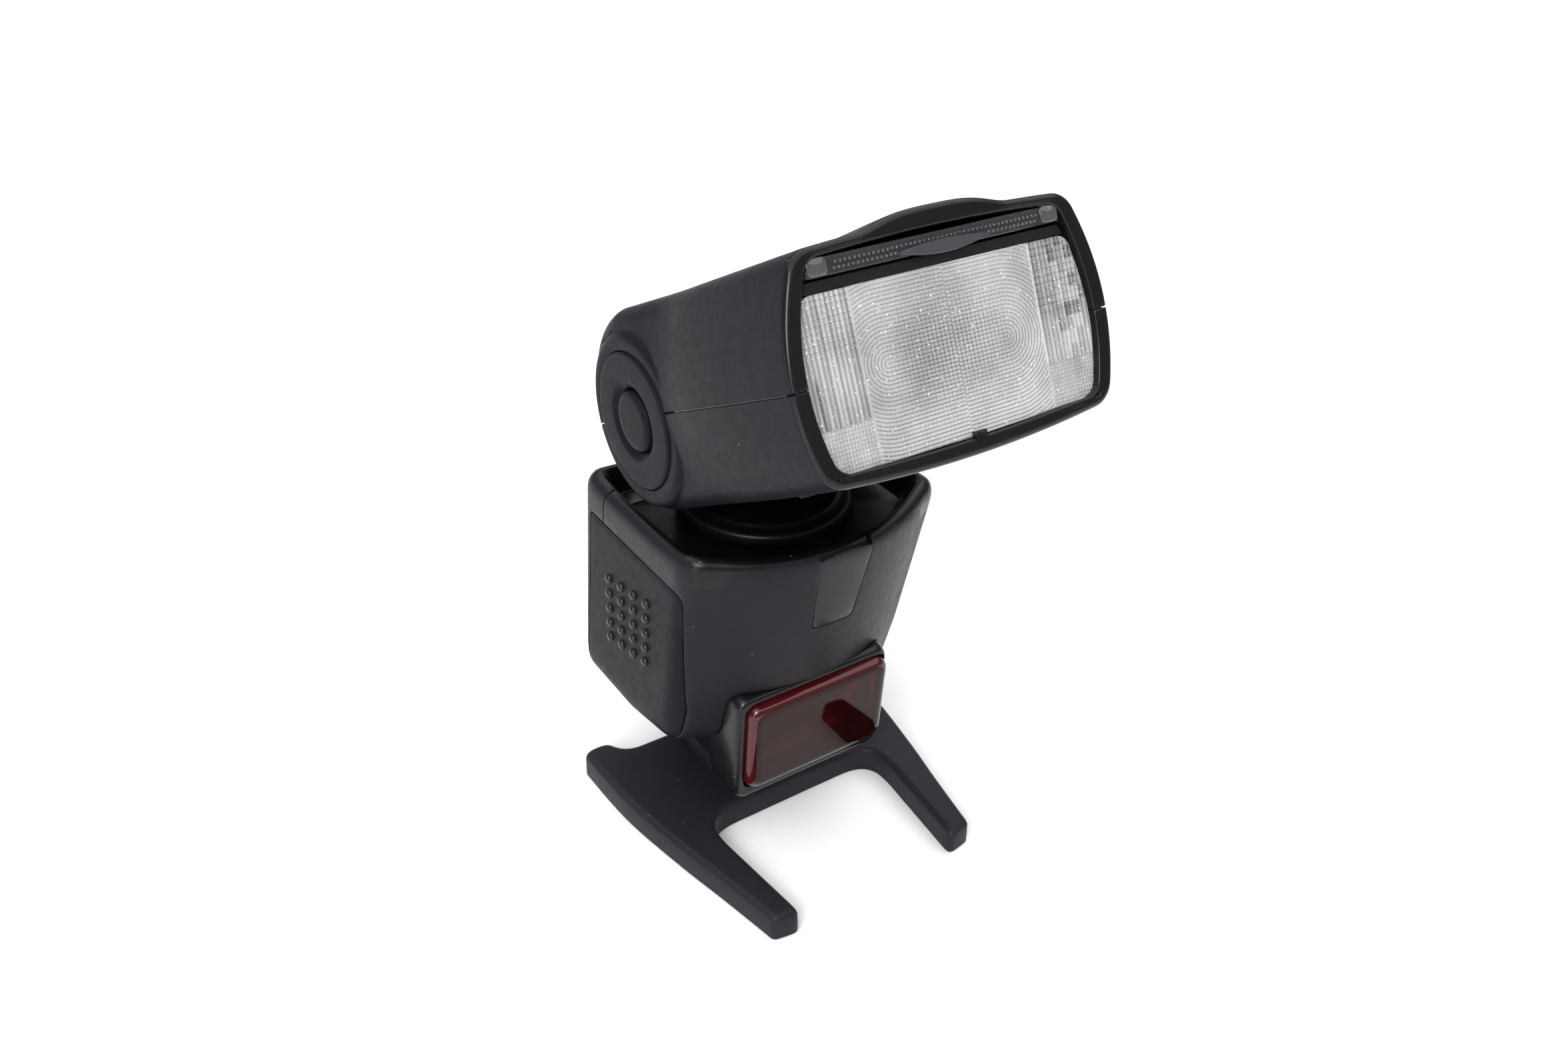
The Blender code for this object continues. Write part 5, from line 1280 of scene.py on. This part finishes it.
# ------------------------------------------------------------------ carried-over CAD nodes
for names, m in (
        (("door_hinge_pin", "lock_lever", "power_switch", "key_light", "key_mode", "key_sync", "key_zoom", "key_minus", "key_select", "key_plus"), KEYM),
        (("battery_tray", "zoom_carriage", "af_emitter"), GREY),
        (("foot_plate", "battery_contacts", "door_contacts", "lock_pin", "swivel_nut", "tilt_shaft", "lock_spring", "lead_screw", "guide_rod", "zoom_motor"), STEEL),
        (("head_screw_left", "head_screw_right"), GLOSS),
        (("tripod_bush", "contact_pin_center", "contact_pin_1", "contact_pin_2", "contact_pin_3", "contact_pin_4"), GOLD),
        (("flash_tube",), TUBEM), (("lcd_window",), LCDW), (("lcd_module",), LCDM), (("test_button",), AMBER),
        (("main_board",), PCB), (("main_capacitor",), SLEEVE), (("panel_carrier",), WHITE), (("foot_block",), SHELL)):
    for nm in names:
        put(NODES[nm], m)

# ------------------------------------------------------------------ STAGE
def area(name, loc, aim, size, power, color=(1, 1, 1), size_y=None):
    d = bpy.data.lights.new(name, "AREA")
    d.energy = power
    d.color = color
    d.size = size
    if size_y:
        d.shape = "RECTANGLE"
        d.size_y = size_y
    o = bpy.data.objects.new(name, d)
    SC.collection.objects.link(o)
    o.location = loc
    o.rotation_mode = "QUATERNION"
    o.rotation_quaternion = (Vector(aim) - Vector(loc)).to_track_quat("-Z", "Y")
    return o


fm, fnt, fb = node_mat("pale_floor")
fco = coords(fnt)
fnt.links.new(mixc(fnt, noise(fnt, fco, 3.0), (0.90, 0.90, 0.905), (0.93, 0.93, 0.93)), fb.inputs["Base Color"])
fb.inputs["Roughness"].default_value = 0.85
fb.inputs["Specular IOR Level"].default_value = 0.1
floor = tidy(new_mesh("floor", [(-4000, -4000, -0.05), (4000, -4000, -0.05), (4000, 4000, -0.05), (-4000, 4000, -0.05)], [(0, 1, 2, 3)]))
put(floor, fm)
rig.stage(floor)
w = bpy.data.worlds.new("studio") if SC.world is None else SC.world
SC.world = w
w.use_nodes = True
bg = w.node_tree.nodes.get("Background")
bg.inputs["Color"].default_value = (1.0, 1.0, 1.0, 1)
bg.inputs["Strength"].default_value = 0.34
area("overhead", (0.0, 0.0, 2.0), (0, 0, 0), 4.6, 105.0)
area("key", (-0.66, -0.52, 0.66), (0, 0, 0.10), 0.42, 6.0)
area("strip", (-0.78, -0.46, 0.20), (0, 0, 0.12), 0.10, 0.8, size_y=0.40)

SC.view_settings.view_transform = "Standard"
SC.view_settings.look = "None"
SC.view_settings.exposure = 0.0

cam = bpy.data.cameras.new("camera")
co = bpy.data.objects.new("camera", cam)
SC.collection.objects.link(co)
SC.camera = co
cam.sensor_width = 36.0
cam.sensor_fit = "HORIZONTAL"
cam.lens = 30.93
cam.clip_start = 0.01
cam.clip_end = 20.0
a, e, r = rad(-34.69), rad(32.0), rad(1.45)
back = Vector((math.sin(a) * math.cos(e), -math.cos(a) * math.cos(e), math.sin(e)))
right = Vector((math.cos(a), math.sin(a), 0))
upv = back.cross(right)
rr_ = right * math.cos(r) + upv * math.sin(r)
uu_ = -right * math.sin(r) + upv * math.cos(r)
M = Matrix((rr_, uu_, back)).transposed().to_4x4()
M.translation = Vector((-0.14909, -0.22546, 0.24510))
co.matrix_world = M

bpy.context.view_layer.update()
json.dump({"cad": CAD_BOX, "visual": [list(v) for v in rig.bounds()]}, open("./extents.json", "w"))
